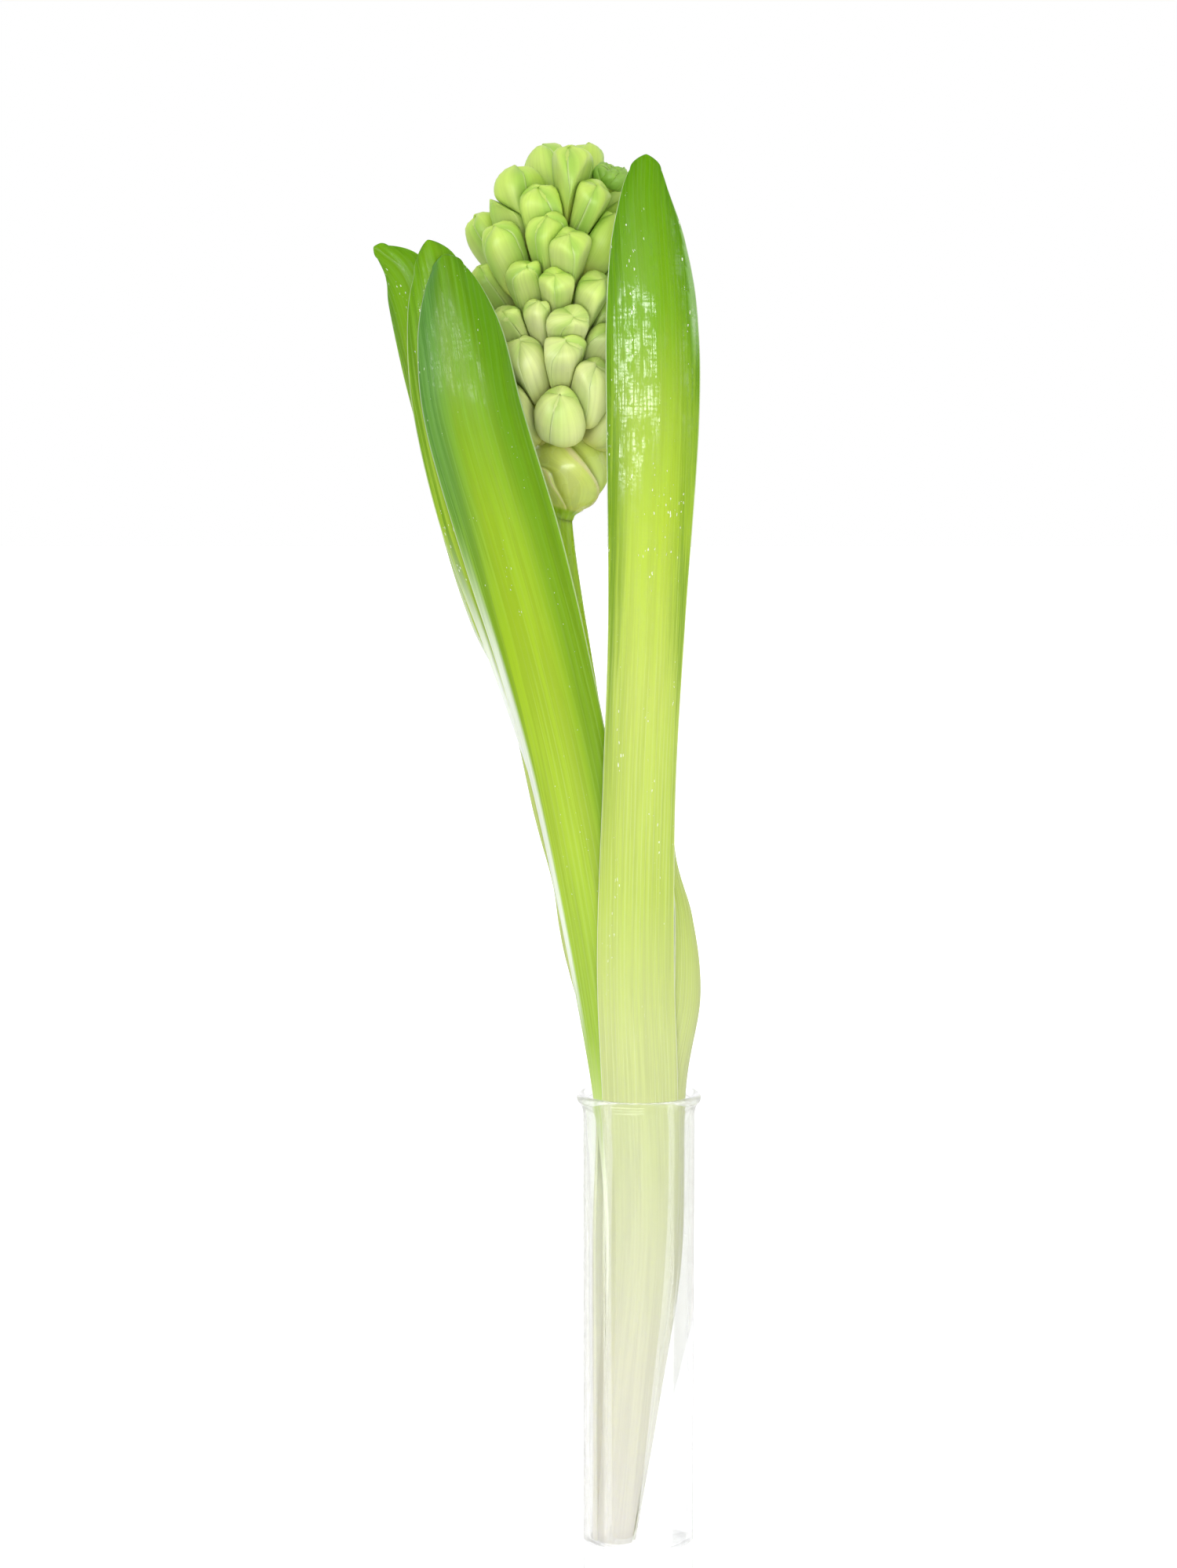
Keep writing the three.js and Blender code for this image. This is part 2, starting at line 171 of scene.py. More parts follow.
# Buds on the front of the head: turn round the stalk, height of the middle, its distance from
# the stalk's axis, rise over the level, lean to the right, length and width.
FRONT_BUDS = (
    (-45, 298, 14, 10, 0, 17, 11),
    (0, 298, 14.2, 12, 0, 14, 10.2),
    (60, 298, 13.5, 12, 0, 17, 11),
    (26, 303.5, 14.5, 15, 0, 17, 11.5),
    (-85, 303, 14, 20, 0, 17, 11),
    (88, 306, 14, 24, 0, 17, 11),
    (-24, 308.5, 14.5, 25, 0, 17, 12),
    (5, 310.5, 15.8, 18, -8, 15, 12.5),
    (42, 312.5, 14, 30, 0, 17, 11),
    (78, 316, 14.5, 38, 0, 17, 11),
    (-38, 316.5, 15.4, 42, 0, 17, 12),
    (-17, 318.5, 14, 45, 0, 16, 9.5),
    (5, 317.3, 16, 25, -5, 15, 12),
    (46, 319, 13, 38, 0, 16, 10),
    (-95, 320, 15, 35, 0, 17, 11),
    (28, 323.5, 14.8, 45, 0, 18, 12),
    (-68, 325.5, 16, 48, 0, 17, 11),
    (-26, 326.5, 15, 48, 6, 17, 11),
    (-5, 325.5, 15.8, 38, 0, 15, 11.5),
    (66, 330, 14, 50, 5, 17, 11),
    (-85, 337.5, 15.6, 62, -6, 18, 10.5),
    (-45, 334, 17.2, 62, -3, 18, 10),
    (-14, 335.5, 15.2, 58, 3, 18, 11),
    (2, 333, 16.5, 50, 4, 17, 12),
    (42, 337, 12.5, 60, 10, 16, 10),
    (80, 341, 13, 62, 8, 16, 10),
    (-62, 343.5, 14.4, 70, -3, 17, 10),
    (-26, 342.5, 12.8, 66, 6, 17.5, 12),
    (12, 345, 11, 58, 26, 18, 12.5),
    (-64, 347.5, 14.8, 74, 3, 17, 11.5),
    (-28, 351.2, 11.2, 76, 5, 18, 12.5),
)
TOP_BUDS = (
    (-124, 353.4, 12.4, 82, -3, 17, 10.5),
    (-155, 353.4, 8.4, 84, 8, 17, 10),
    (135, 347, 10, 70, 6, 16, 10),
    (-160, 345, 14, 68, 0, 16, 10),
)

# A front bud below this height and within this turn has a twin across the stalk, which sits a
# little higher and no further out than this.
TWIN_BELOW, TWIN_TURN, TWIN_LIFT, TWIN_REACH = 340, 50, 2, 15


# Helpers ------------------------------------------------------------------------------------


def srgb(red: int, green: int, blue: int) -> tuple[float, float, float, float]:
    """A colour given in display values from 0 to 255, as the linear values that shaders take.

    Args:
        red: the red value.
        green: the green value.
        blue: the blue value.

    Returns:
        The linear colour, with full alpha.
    """
    def linear(value: int) -> float:
        """One display value made linear."""
        share = value / 255
        return share / 12.92 if share <= 0.04045 else ((share + 0.055) / 1.055) ** 2.4

    return linear(red), linear(green), linear(blue), 1.0


def smooth(low: float, high: float, value: np.ndarray | float) -> np.ndarray:
    """A soft step from 0 at low to 1 at high."""
    share = np.clip((value - low) / (high - low), 0, 1)
    return share * share * (3 - 2 * share)


def unit(vectors: np.ndarray) -> np.ndarray:
    """Vectors at length 1."""
    return vectors / np.maximum(np.linalg.norm(vectors, axis=-1, keepdims=True), 1e-12)


def dot(one: np.ndarray, other: np.ndarray) -> np.ndarray:
    """The dot product of vectors, kept as a last axis of one."""
    return (one * other).sum(-1, keepdims=True)


def outward(turn: np.ndarray | float) -> np.ndarray:
    """The level direction at a turn in degrees, 0 to the front and 90 to the right."""
    angle = np.radians(turn)
    return np.stack([np.sin(angle), -np.cos(angle), np.zeros_like(angle)], -1)


def arc(centre: Span, radius: float, first: int, last: int, step: int = 15) -> list[Span]:
    """Points on an arc.

    Args:
        centre: the arc's centre.
        radius: its radius.
        first: the turn that it starts at, in degrees.
        last: the turn that it ends at.
        step: degrees from point to point.

    Returns:
        The points, both ends included.
    """
    turns = np.radians(np.linspace(first, last, abs(last - first) // step + 1))
    return [(centre[0] + radius * math.cos(turn), centre[1] + radius * math.sin(turn)) for turn in turns]


class Course:
    """A smooth course through stations, each a row of numbers."""

    def __init__(self, stations: Sequence[Sequence[float]]) -> None:
        """Keeps the stations, with one more past each end to steer the curve.

        Args:
            stations: rows of equal length, in order.
        """
        rows = np.array(stations, float)
        self.cells = len(rows) - 1
        self.rows = np.vstack([2 * rows[0] - rows[1], rows, 2 * rows[-1] - rows[-2]])

    def at(self, share: np.ndarray) -> np.ndarray:
        """The numbers at shares of the way along.

        Args:
            share: from 0 at the first station to 1 at the last.

        Returns:
            One row for each share.
        """
        place = np.clip(share, 0, 1) * self.cells
        cell = np.minimum(place.astype(int), self.cells - 1)
        step = (place - cell)[..., None]
        before, start, end, after = (self.rows[cell + k] for k in range(4))
        leave, arrive = (end - before) / 2, (after - start) / 2
        cubic = 2 * start - 2 * end + leave + arrive
        square = 3 * end - 3 * start - 2 * leave - arrive
        return ((cubic * step + square) * step + leave) * step + start

    def heading(self, share: np.ndarray, step: float = 1e-4) -> np.ndarray:
        """The direction along the course, from the first three numbers of each row.

        Args:
            share: from 0 at the first station to 1 at the last.
            step: how far to each side the places are compared.

        Returns:
            One unit vector for each share.
        """
        there = self.at(np.clip(share + step, 0, 1))[..., :3]
        here = self.at(np.clip(share - step, 0, 1))[..., :3]
        return unit(there - here)

    def lengths(self, share: np.ndarray, samples: int = 400) -> np.ndarray:
        """The distance travelled from the first station.

        Args:
            share: from 0 at the first station to 1 at the last.
            samples: how many short lengths the distance is added up from.

        Returns:
            One distance for each share.
        """
        marks = np.linspace(0, 1, samples)
        steps = np.linalg.norm(np.diff(self.at(marks)[:, :3], axis=0), axis=1)
        return np.interp(share, marks, np.concatenate([[0], steps.cumsum()]))


class Surface(Protocol):
    """A closed tube given by formulas of the share round it and the share along it."""

    def place(self, around: np.ndarray, along: np.ndarray) -> np.ndarray:
        """The points in millimetres."""

    def grain(self, around: np.ndarray, along: np.ndarray) -> np.ndarray:
        """Millimetres across and along the strip, and a number of its own."""

    def share(self, around: np.ndarray, along: np.ndarray) -> np.ndarray:
        """The share across, the share along and a tone."""


class Mesher:
    """Builds one piece's mesh from grids that are rolled into tubes and moved by formulas."""

    def __init__(self) -> None:
        """Starts an empty mesh with the two attributes that patterns follow."""
        self.bm = bmesh.new()
        self.grain = self.bm.verts.layers.float_vector.new("grain")
        self.share = self.bm.verts.layers.float_vector.new("share")

    def tube(self, surface: Surface, columns: int, rows: int, crowd: float = 1.0) -> None:
        """Adds a closed tube: a grid rolled up, moved by a surface's formulas and capped.

        Args:
            surface: gives the points and the two attributes.
            columns: faces round it.
            rows: faces along it.
            crowd: how much the rows crowd towards the far end, 1 for even rows.
        """
        made = bmesh.ops.create_grid(self.bm, x_segments=columns, y_segments=rows, size=0.5)
        verts = made["verts"]
        flat = np.array([vert.co[:2] for vert in verts]) + 0.5
        around, along = flat[:, 0], 1 - (1 - flat[:, 1]) ** crowd
        points = surface.place(around, along) * MM
        grains = surface.grain(around, along)
        shares = surface.share(around, along)
        for vert, point, grain, share in zip(verts, points, grains, shares):
            vert.co = point
            vert[self.grain] = grain
            vert[self.share] = share
        bmesh.ops.remove_doubles(self.bm, verts=verts, dist=WELD)
        edges = [edge for edge in self.bm.edges if edge.is_boundary]
        bmesh.ops.holes_fill(self.bm, edges=edges, sides=0)

    def piece(self, name: str, node: str, slot: str, material: bpy.types.Material) -> bpy.types.Object:
        """Makes the mesh into a piece that stands for a node of the frame.

        Args:
            name: the piece's name.
            node: the node that it stands for.
            slot: the record's material slot, not used.
            material: its finish.

        Returns:
            The piece, riding on the part's one body.
        """
        bmesh.ops.recalc_face_normals(self.bm, faces=self.bm.faces)
        for face in self.bm.faces:
            face.smooth = True
        mesh = bpy.data.meshes.new(name)
        self.bm.to_mesh(mesh)
        self.bm.free()
        mesh.materials.append(material)
        piece = bpy.data.objects.new(name, mesh)
        bpy.context.scene.collection.objects.link(piece)
        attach(piece, BODY)
        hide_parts(node)
        return piece


# Finishes -----------------------------------------------------------------------------------


class Tree:
    """A node tree with short calls for the nodes that the finishes use."""

    def __init__(self, tree: bpy.types.NodeTree) -> None:
        """Keeps the tree, which is a material's, a world's or a group's."""
        self.tree = tree

    def feed(self, node: bpy.types.Node, inputs: dict) -> None:
        """Sets a node's inputs.

        Args:
            node: the node.
            inputs: by name or number, a plain value or the output to link.
        """
        for key, value in inputs.items():
            if isinstance(value, bpy.types.NodeSocket):
                self.tree.links.new(value, node.inputs[key])
            else:
                node.inputs[key].default_value = value

    def add(self, kind: str, inputs: dict | None = None, **settings: object) -> bpy.types.Node:
        """Adds a node.

        Args:
            kind: the node's type.
            inputs: by name or number, a plain value or the output to link.
            settings: the node's own properties.

        Returns:
            The node.
        """
        node = self.tree.nodes.new(kind)
        for key, value in settings.items():
            setattr(node, key, value)
        self.feed(node, inputs or {})
        return node

    def math(self, operation: str, *values: object, clamp: bool = False) -> bpy.types.NodeSocket:
        """The result of a Math node on one to three values."""
        node = self.add("ShaderNodeMath", dict(enumerate(values)), operation=operation, use_clamp=clamp)
        return node.outputs[0]

    def times(self, first: object, *others: object) -> bpy.types.NodeSocket:
        """The product of values.

        Args:
            first: a value or an output.
            others: the ones to multiply it by.

        Returns:
            The product.
        """
        for other in others:
            first = self.math("MULTIPLY", first, other)
        return first

    def vector(self, operation: str, inputs: dict) -> bpy.types.NodeSocket:
        """The result of a Vector Math node."""
        return self.add("ShaderNodeVectorMath", inputs, operation=operation).outputs[0]

    def ramp(self, value: object, stops: Sequence[tuple[float, tuple]]) -> bpy.types.NodeSocket:
        """A colour read off a run of stops.

        Args:
            value: where it is read, from 0 to 1.
            stops: each a place and a linear colour.

        Returns:
            The colour.
        """
        node = self.add("ShaderNodeValToRGB", {"Fac": value})
        elements = node.color_ramp.elements
        for element, (place, colour) in zip(elements, stops):
            element.position, element.color = place, colour
        for place, colour in stops[len(elements):]:
            elements.new(place).color = colour
        return node.outputs["Color"]

    def step(
        self,
        value: object,
        low: float,
        high: float,
        to: Span = (0.0, 1.0),
        how: str = "SMOOTHSTEP",
    ) -> bpy.types.NodeSocket:
        """A value taken from one range to another.

        Args:
            value: the value.
            low: where the first range starts.
            high: where it ends.
            to: the second range.
            how: the way in between, soft unless it says otherwise.

        Returns:
            The value in the second range.
        """
        ranges = {"From Min": low, "From Max": high, "To Min": to[0], "To Max": to[1]}
        node = self.add("ShaderNodeMapRange", {"Value": value, **ranges}, interpolation_type=how)
        return node.outputs["Result"]

    def mix(self, share: object, one: object, other: object, how: str = "MIX") -> bpy.types.NodeSocket:
        """Two colours mixed.

        Args:
            share: how much of the second shows.
            one: the first colour.
            other: the second colour.
            how: the way they are mixed.

        Returns:
            The mixed colour.
        """
        node = self.add("ShaderNodeMix", data_type="RGBA", blend_type=how)
        numbers = {socket.identifier: number for number, socket in enumerate(node.inputs)}
        values = (("Factor_Float", share), ("A_Color", one), ("B_Color", other))
        self.feed(node, {numbers[name]: value for name, value in values})
        return next(socket for socket in node.outputs if socket.identifier == "Result_Color")

    def shaded(self, colour: object, level: object) -> bpy.types.NodeSocket:
        """A colour made darker or lighter by a level, 1 for no change."""
        shade = self.add("ShaderNodeCombineXYZ", {0: level, 1: level, 2: level}).outputs[0]
        return self.mix(1.0, colour, shade, "MULTIPLY")

    def attribute(self, name: str) -> tuple[bpy.types.NodeSocket, ...]:
        """An attribute's vector and its three numbers."""
        vector = self.add("ShaderNodeAttribute", attribute_name=name).outputs["Vector"]
        return vector, *self.add("ShaderNodeSeparateXYZ", {0: vector}).outputs

    def noise(
        self,
        vector: object,
        scale: float = 1.0,
        detail: float = 2.0,
        rough: float = 0.5,
    ) -> bpy.types.NodeSocket:
        """The value of a noise pattern.

        Args:
            vector: where it is read.
            scale: how fine it is.
            detail: how many finer patterns it holds.
            rough: how strong those are.

        Returns:
            The value.
        """
        inputs = {"Vector": vector, "Scale": scale, "Detail": detail, "Roughness": rough}
        return self.add("ShaderNodeTexNoise", inputs).outputs["Fac"]

    def stretched(self, vector: object, scale: Triple) -> bpy.types.NodeSocket:
        """A vector with each of its numbers scaled."""
        return self.add("ShaderNodeMapping", {"Vector": vector, "Scale": scale}).outputs[0]

    def bump(self, height: object, distance: float, strength: float) -> bpy.types.NodeSocket:
        """A normal tilted by a height, whose full distance is in millimetres."""
        inputs = {"Height": height, "Distance": distance * MM, "Strength": strength}
        return self.add("ShaderNodeBump", inputs).outputs["Normal"]

    def group(self, tree: bpy.types.NodeTree, **inputs: object) -> bpy.types.Node:
        """Places a shared group with its own values."""
        named = {key.capitalize(): value for key, value in inputs.items()}
        return self.add("ShaderNodeGroup", named, node_tree=tree)


def new_group(
    name: str,
    inputs: dict[str, str],
    outputs: Sequence[str],
) -> tuple[Tree, dict[str, bpy.types.NodeSocket], bpy.types.Node]:
    """Starts a shader group.

    Args:
        name: the group's name.
        inputs: socket names and types.
        outputs: the names of its number outputs.

    Returns:
        The tree, its input sockets by name and its output node.
    """
    tree = bpy.data.node_groups.new(name, "ShaderNodeTree")
    for label, kind in inputs.items():
        tree.interface.new_socket(name=label, in_out="INPUT", socket_type=kind)
    for label in outputs:
        tree.interface.new_socket(name=label, in_out="OUTPUT", socket_type="NodeSocketFloat")
    nodes = Tree(tree)
    start, end = nodes.add("NodeGroupInput"), nodes.add("NodeGroupOutput")
    return nodes, {socket.name: socket for socket in start.outputs if socket.name}, end


def new_material(name: str) -> tuple[bpy.types.Material, Tree, bpy.types.Node]:
    """A material with a Principled shader on its output.

    Args:
        name: the material's name.

    Returns:
        The material, its tree and the shader.
    """
    material = bpy.data.materials.new(name)
    material.use_nodes = True
    return material, Tree(material.node_tree), material.node_tree.nodes["Principled BSDF"]


@dataclass(frozen=True)
class VeinPattern:
    """Parallel veins that run the length of a strip.

    A scale is given for each millimetre across and along, and for the strip's own number.
    """

    broad: Triple = (0.45, 0.012, 3.7)
    fine: Triple = (2.6, 0.02, 7.1)
    broad_share: float = 0.7
    wander: float = 3.0  # radians that the broad bands carry a line to the side
    pitch: float = 4.8  # radians of the lines' wave for each millimetre across
    sharpness: float = 3.0
    broken: Span = (0.35, 0.6)  # fine tones over which a line comes in

    def make(self) -> bpy.types.NodeTree:
        """Builds the group: a tone and a height, each about 0 to 1, and a mask of fine lines.

        Returns:
            The group's tree.
        """
        nodes, given, end = new_group(
            "parallel_veins",
            {"Grain": "NodeSocketVector", "Fineness": "NodeSocketFloat"},
            ("Tone", "Height", "Lines"),
        )
        scaled = nodes.vector("SCALE", {0: given["Grain"], "Scale": given["Fineness"]})
        broad = nodes.noise(nodes.stretched(scaled, self.broad), detail=3, rough=0.6)
        fine = nodes.noise(nodes.stretched(scaled, self.fine))
        tone = nodes.math("MULTIPLY_ADD", broad, self.broad_share, nodes.times(fine, 1 - self.broad_share))
        across = nodes.add("ShaderNodeSeparateXYZ", {0: scaled}).outputs["X"]
        wave = nodes.math("MULTIPLY_ADD", broad, self.wander, nodes.times(across, self.pitch))
        ridge = nodes.math("MULTIPLY_ADD", nodes.math("SINE", wave), 0.5, 0.5)
        lines = nodes.times(nodes.math("POWER", ridge, self.sharpness), nodes.step(fine, *self.broken))
        nodes.feed(end, {"Tone": tone, "Height": fine, "Lines": lines})
        return nodes.tree


@dataclass(frozen=True)
class SpeckPattern:
    """Tiny wet dashes that lie along a strip, scattered in patches."""

    cell: Triple = (1.9, 0.62, 1.0)  # cells for each millimetre across and along
    shake: float = 0.9  # how far a cell strays
    shake_scale: float = 1.3
    patch: Triple = (0.32, 0.03, 1.0)  # the patches' scale, for each millimetre
    patch_from: Span = (0.5, 0.64)
    chosen: Span = (0.35, 0.9)  # chances from no dash to a full one
    size: float = 0.3  # of a full dash, in cells
    edge: float = 0.08  # over which its mask fades, in cells

    def make(self) -> bpy.types.NodeTree:
        """Builds the group: a mask from 0 to 1.

        Returns:
            The group's tree.
        """
        nodes, given, end = new_group(
            "wet_specks",
            {"Grain": "NodeSocketVector", "Amount": "NodeSocketFloat"},
            ("Mask",),
        )
        grain = given["Grain"]
        stray = nodes.add("ShaderNodeTexNoise", {"Vector": grain, "Scale": self.shake_scale, "Detail": 2})
        stray = nodes.vector("SCALE", {0: stray.outputs["Color"], "Scale": self.shake})
        warped = nodes.vector("ADD", {0: nodes.stretched(grain, self.cell), 1: stray})
        cells = nodes.add("ShaderNodeTexVoronoi", {"Vector": warped, "Scale": 1.0})
        chance = nodes.add("ShaderNodeSeparateXYZ", {0: cells.outputs["Color"]}).outputs[0]
        patch = nodes.step(nodes.noise(nodes.stretched(grain, self.patch)), *self.patch_from)
        limit = nodes.times(nodes.step(chance, *self.chosen), patch, given["Amount"], self.size)
        depth = nodes.math("SUBTRACT", limit, cells.outputs["Distance"])
        nodes.feed(end, {"Mask": nodes.step(depth, 0.0, self.edge)})
        return nodes.tree


@dataclass(frozen=True)
class FilmPattern:
    """A thin wet film, broken up along the veins and by creases across them.

    A scale is given for each millimetre across and along.
    """

    pools: Triple = (0.55, 0.16, 1.0)
    threads: Triple = (1.9, 0.04, 1.0)
    creases: Triple = (0.5, 1.7, 1.0)
    pools_from: Span = (0.42, 0.58)
    threads_from: Span = (0.4, 0.56)
    creases_from: Span = (0.4, 0.56)
    creased: Span = (0.1, 1.0)  # what is left of the film in a crease and beside it

    def make(self) -> bpy.types.NodeTree:
        """Builds the group: a mask from 0 to 1.

        Returns:
            The group's tree.
        """
        nodes, given, end = new_group("wet_film", {"Grain": "NodeSocketVector"}, ("Mask",))
        pools = nodes.noise(nodes.stretched(given["Grain"], self.pools), detail=5, rough=0.65)
        threads = nodes.noise(nodes.stretched(given["Grain"], self.threads))
        creases = nodes.noise(nodes.stretched(given["Grain"], self.creases), detail=3, rough=0.6)
        mask = nodes.times(
            nodes.step(pools, *self.pools_from),
            nodes.step(threads, *self.threads_from),
            nodes.step(creases, *self.creases_from, self.creased),
        )
        nodes.feed(end, {"Mask": mask})
        return nodes.tree


@dataclass(frozen=True)
class Effects:
    """The shared groups that the plant's finishes draw on."""

    veins: bpy.types.NodeTree
    specks: bpy.types.NodeTree
    film: bpy.types.NodeTree


@dataclass(frozen=True)
class Ground:
    """What the pattern of a finish follows on a piece."""

    place: bpy.types.NodeSocket
    height: bpy.types.NodeSocket
    grain: bpy.types.NodeSocket
    shares: tuple[bpy.types.NodeSocket, ...]
    vein: bpy.types.Node

    @classmethod
    def under(cls, nodes: Tree, effects: Effects, fineness: float) -> "Ground":
        """Reads the piece's coordinates and attributes.

        Args:
            nodes: the material's tree.
            effects: the shared groups.
            fineness: of the veins.

        Returns:
            The ground.
        """
        place = nodes.add("ShaderNodeTexCoord").outputs["Object"]
        height = nodes.add("ShaderNodeSeparateXYZ", {0: place}).outputs["Z"]
        grain, *_ = nodes.attribute("grain")
        _, *shares = nodes.attribute("share")
        vein = nodes.group(effects.veins, grain=grain, fineness=fineness)
        return cls(place, height, grain, tuple(shares), vein)


@dataclass(frozen=True)
class Softness:
    """How light spreads under a living skin."""

    weight: float
    radius: Triple
    depth: float  # millimetres

    def inputs(self) -> dict:
        """The shader's plain values.

        Returns:
            The values by input.
        """
        return {
            "Subsurface Weight": self.weight,
            "Subsurface Radius": self.radius,
            "Subsurface Scale": self.depth * MM,
        }


@dataclass(frozen=True)
class LeafFinish:
    """A waxy leaf: a run of greens by height, veins, darker flanks, pale rims and a wet film.

    Heights are in metres. A share across runs from -1 at the left margin to 1 at the right one.
    """

    name: str
    run: tuple[tuple[float, Colour], ...]  # height in millimetres and colour
    fineness: float = 1.0  # of the veins
    streaks: Span = (0.38, 0.62)  # vein tones from one kind of streak to the other
    contrast: float = 0.1  # between the streaks
    drift: float = 0.16  # how far the colours wander along the veins
    upper: Span = (0.170, 0.280)  # heights over which the blade takes its upper look
    deep: Colour = (78, 132, 6)
    flank_across: Span = (0.3, 0.95)
    flank_shares: Span = (0.75, 0.3)  # how deep each kind of streak is on a flank
    dark_side: float = 0.0  # how much darker the right half is
    dark_across: Span = (0.1, 0.65)
    dark_from: Span = (0.150, 0.210)
    # A bluish green on the left margin: partly the wax bloom's own tint, partly painted sheen.
    bloom_and_sheen: Colour = (86, 138, 72)
    bloom_and_sheen_share: float = 0.6  # how much of the bloom and painted sheen shows on the left margin
    bloom_and_sheen_from: Span = (0.240, 0.290)
    bloom_and_sheen_across: Span = (-0.2, -0.75)
    skin: Colour = (238, 243, 238)
    skin_share: float = 0.0  # how much of the pale skin shows on the left margin lower down
    skin_from: Span = (0.140, 0.170)
    skin_to: Span = (0.230, 0.275)
    skin_across: Span = (-0.76, -0.88)
    flap: Colour = (150, 200, 104)  # a paler bluish green painted on the back of a folded margin as its sheen
    flap_sheen_share: float = 0.55
    rim: Colour = (238, 245, 222)
    rim_share: float = 0.3  # how much of the pale rim shows
    rim_across: Span = (0.96, 0.985)
    lines: float = 0.05  # how pale the fine lines are below
    upper_lines: float = 0.02
    lines_from: Span = (0.2, 1.0)  # shares of the upper look over which the lines change
    specks: float = 1.0
    specks_from: Span = (0.140, 0.200)
    # The wet specks' pale colour is a painted glint.
    bead: Colour = (242, 248, 228)
    bead_glint_share: float = 0.8
    film: float = 0.75
    film_from: Span = (0.200, 0.290)  # heights over which the film comes in
    film_to: Span = (0.335, 0.352)  # heights over which it goes again
    film_roughness: float = 0.07
    roughness: Span = (0.24, 0.36)
    gloss: float = 0.08
    vein_relief: float = 0.08
    bead_relief: float = 0.25
    relief: Span = (0.4, 0.8)  # its distance in millimetres and its strength
    glow: float = 0.0  # strength of a painted glow: the blanched foot gives off its own pale colour, which lifts the shade between the leaves
    blanched: Span = (0.150, 0.100)  # heights from green to blanched, over which the painted glow comes in
    softness: Softness = Softness(0.25, (0.9, 1.0, 0.25), 1.5)

    def greens(self, nodes: Tree, ground: Ground) -> bpy.types.NodeSocket:
        """The run of colours by height, which wanders a little along the veins.

        Args:
            nodes: the material's tree.
            ground: what the pattern follows.

        Returns:
            The colour.
        """
        lowest, highest = self.run[0][0] * MM, self.run[-1][0] * MM
        level = nodes.step(ground.height, lowest, highest, how="LINEAR")
        drift = nodes.math("MULTIPLY_ADD", ground.vein.outputs["Tone"], self.drift, level)
        drift = nodes.math("SUBTRACT", drift, self.drift / 2)
        span = highest - lowest
        return nodes.ramp(drift, [((z * MM - lowest) / span, srgb(*tint)) for z, tint in self.run])

    def sides(
        self,
        nodes: Tree,
        ground: Ground,
        colour: bpy.types.NodeSocket,
        streak: bpy.types.NodeSocket,
        upper: bpy.types.NodeSocket,
    ) -> bpy.types.NodeSocket:
        """Adds what differs from side to side: deep flanks, a bloom with painted sheen and a pale skin.

        Args:
            nodes: the material's tree.
            ground: what the pattern follows.
            colour: the leaf's colour so far.
            streak: the kind of streak, from 0 to 1.
            upper: how much of the upper look shows.

        Returns:
            The colour.
        """
        height, across = ground.height, ground.shares[0]
        edge = nodes.math("ABSOLUTE", across)
        depth = nodes.step(streak, 0.0, 1.0, self.flank_shares)
        flank = nodes.times(nodes.step(edge, *self.flank_across), depth, upper)
        dark = nodes.times(
            nodes.step(across, *self.dark_across),
            nodes.step(height, *self.dark_from),
            self.dark_side,
        )
        colour = nodes.mix(nodes.math("MAXIMUM", flank, dark), colour, srgb(*self.deep))
        # Bluish green on the left margin: wax bloom and painted sheen.
        bloom_and_sheen = nodes.times(
            nodes.step(height, *self.bloom_and_sheen_from),
            self.bloom_and_sheen_share,
            nodes.step(across, *self.bloom_and_sheen_across),
        )
        colour = nodes.mix(bloom_and_sheen, colour, srgb(*self.bloom_and_sheen))
        skin = nodes.times(
            nodes.step(height, *self.skin_from),
            nodes.step(height, *self.skin_to, (1.0, 0.0)),
            nodes.step(across, *self.skin_across, (0.0, self.skin_share)),
        )
        return nodes.mix(skin, colour, srgb(*self.skin))

    def coat(
        self,
        nodes: Tree,
        ground: Ground,
        effects: Effects,
        beads: bpy.types.NodeSocket,
    ) -> bpy.types.NodeSocket:
        """The wet film between its heights, and the wet specks.

        Args:
            nodes: the material's tree.
            ground: what the pattern follows.
            effects: the shared groups.
            beads: the mask of the specks.

        Returns:
            The weight of the coat.
        """
        film = nodes.group(effects.film, grain=ground.grain)
        reach = nodes.times(
            nodes.step(ground.height, *self.film_from),
            nodes.step(ground.height, *self.film_to, (1.0, 0.0)),
        )
        return nodes.math("MAXIMUM", nodes.times(film.outputs["Mask"], reach, self.film), beads)

    def make(self, effects: Effects) -> bpy.types.Material:
        """Builds the material.

        Args:
            effects: the shared groups.

        Returns:
            The material.
        """
        material, nodes, shader = new_material(self.name)
        ground = Ground.under(nodes, effects, self.fineness)
        across, _, flap = ground.shares
        streak = nodes.step(ground.vein.outputs["Tone"], *self.streaks)
        upper = nodes.step(ground.height, *self.upper)
        colour = self.sides(nodes, ground, self.greens(nodes, ground), streak, upper)
        # Painted sheen on the folded margin.
        colour = nodes.mix(nodes.times(flap, self.flap_sheen_share), colour, srgb(*self.flap))
        contrast = (1 - self.contrast, 1 + self.contrast / 2)
        colour = nodes.shaded(colour, nodes.step(streak, 0.0, 1.0, contrast))
        paleness = nodes.step(upper, *self.lines_from, (self.lines, self.upper_lines))
        lines = nodes.times(ground.vein.outputs["Lines"], paleness)
        colour = nodes.mix(lines, colour, srgb(*self.rim))
        edge = nodes.math("ABSOLUTE", across)
        rim = nodes.times(nodes.step(edge, *self.rim_across), self.rim_share)
        colour = nodes.mix(rim, colour, srgb(*self.rim))
        wet = nodes.group(effects.specks, grain=ground.grain, amount=self.specks)
        beads = nodes.times(wet.outputs["Mask"], nodes.step(ground.height, *self.specks_from))
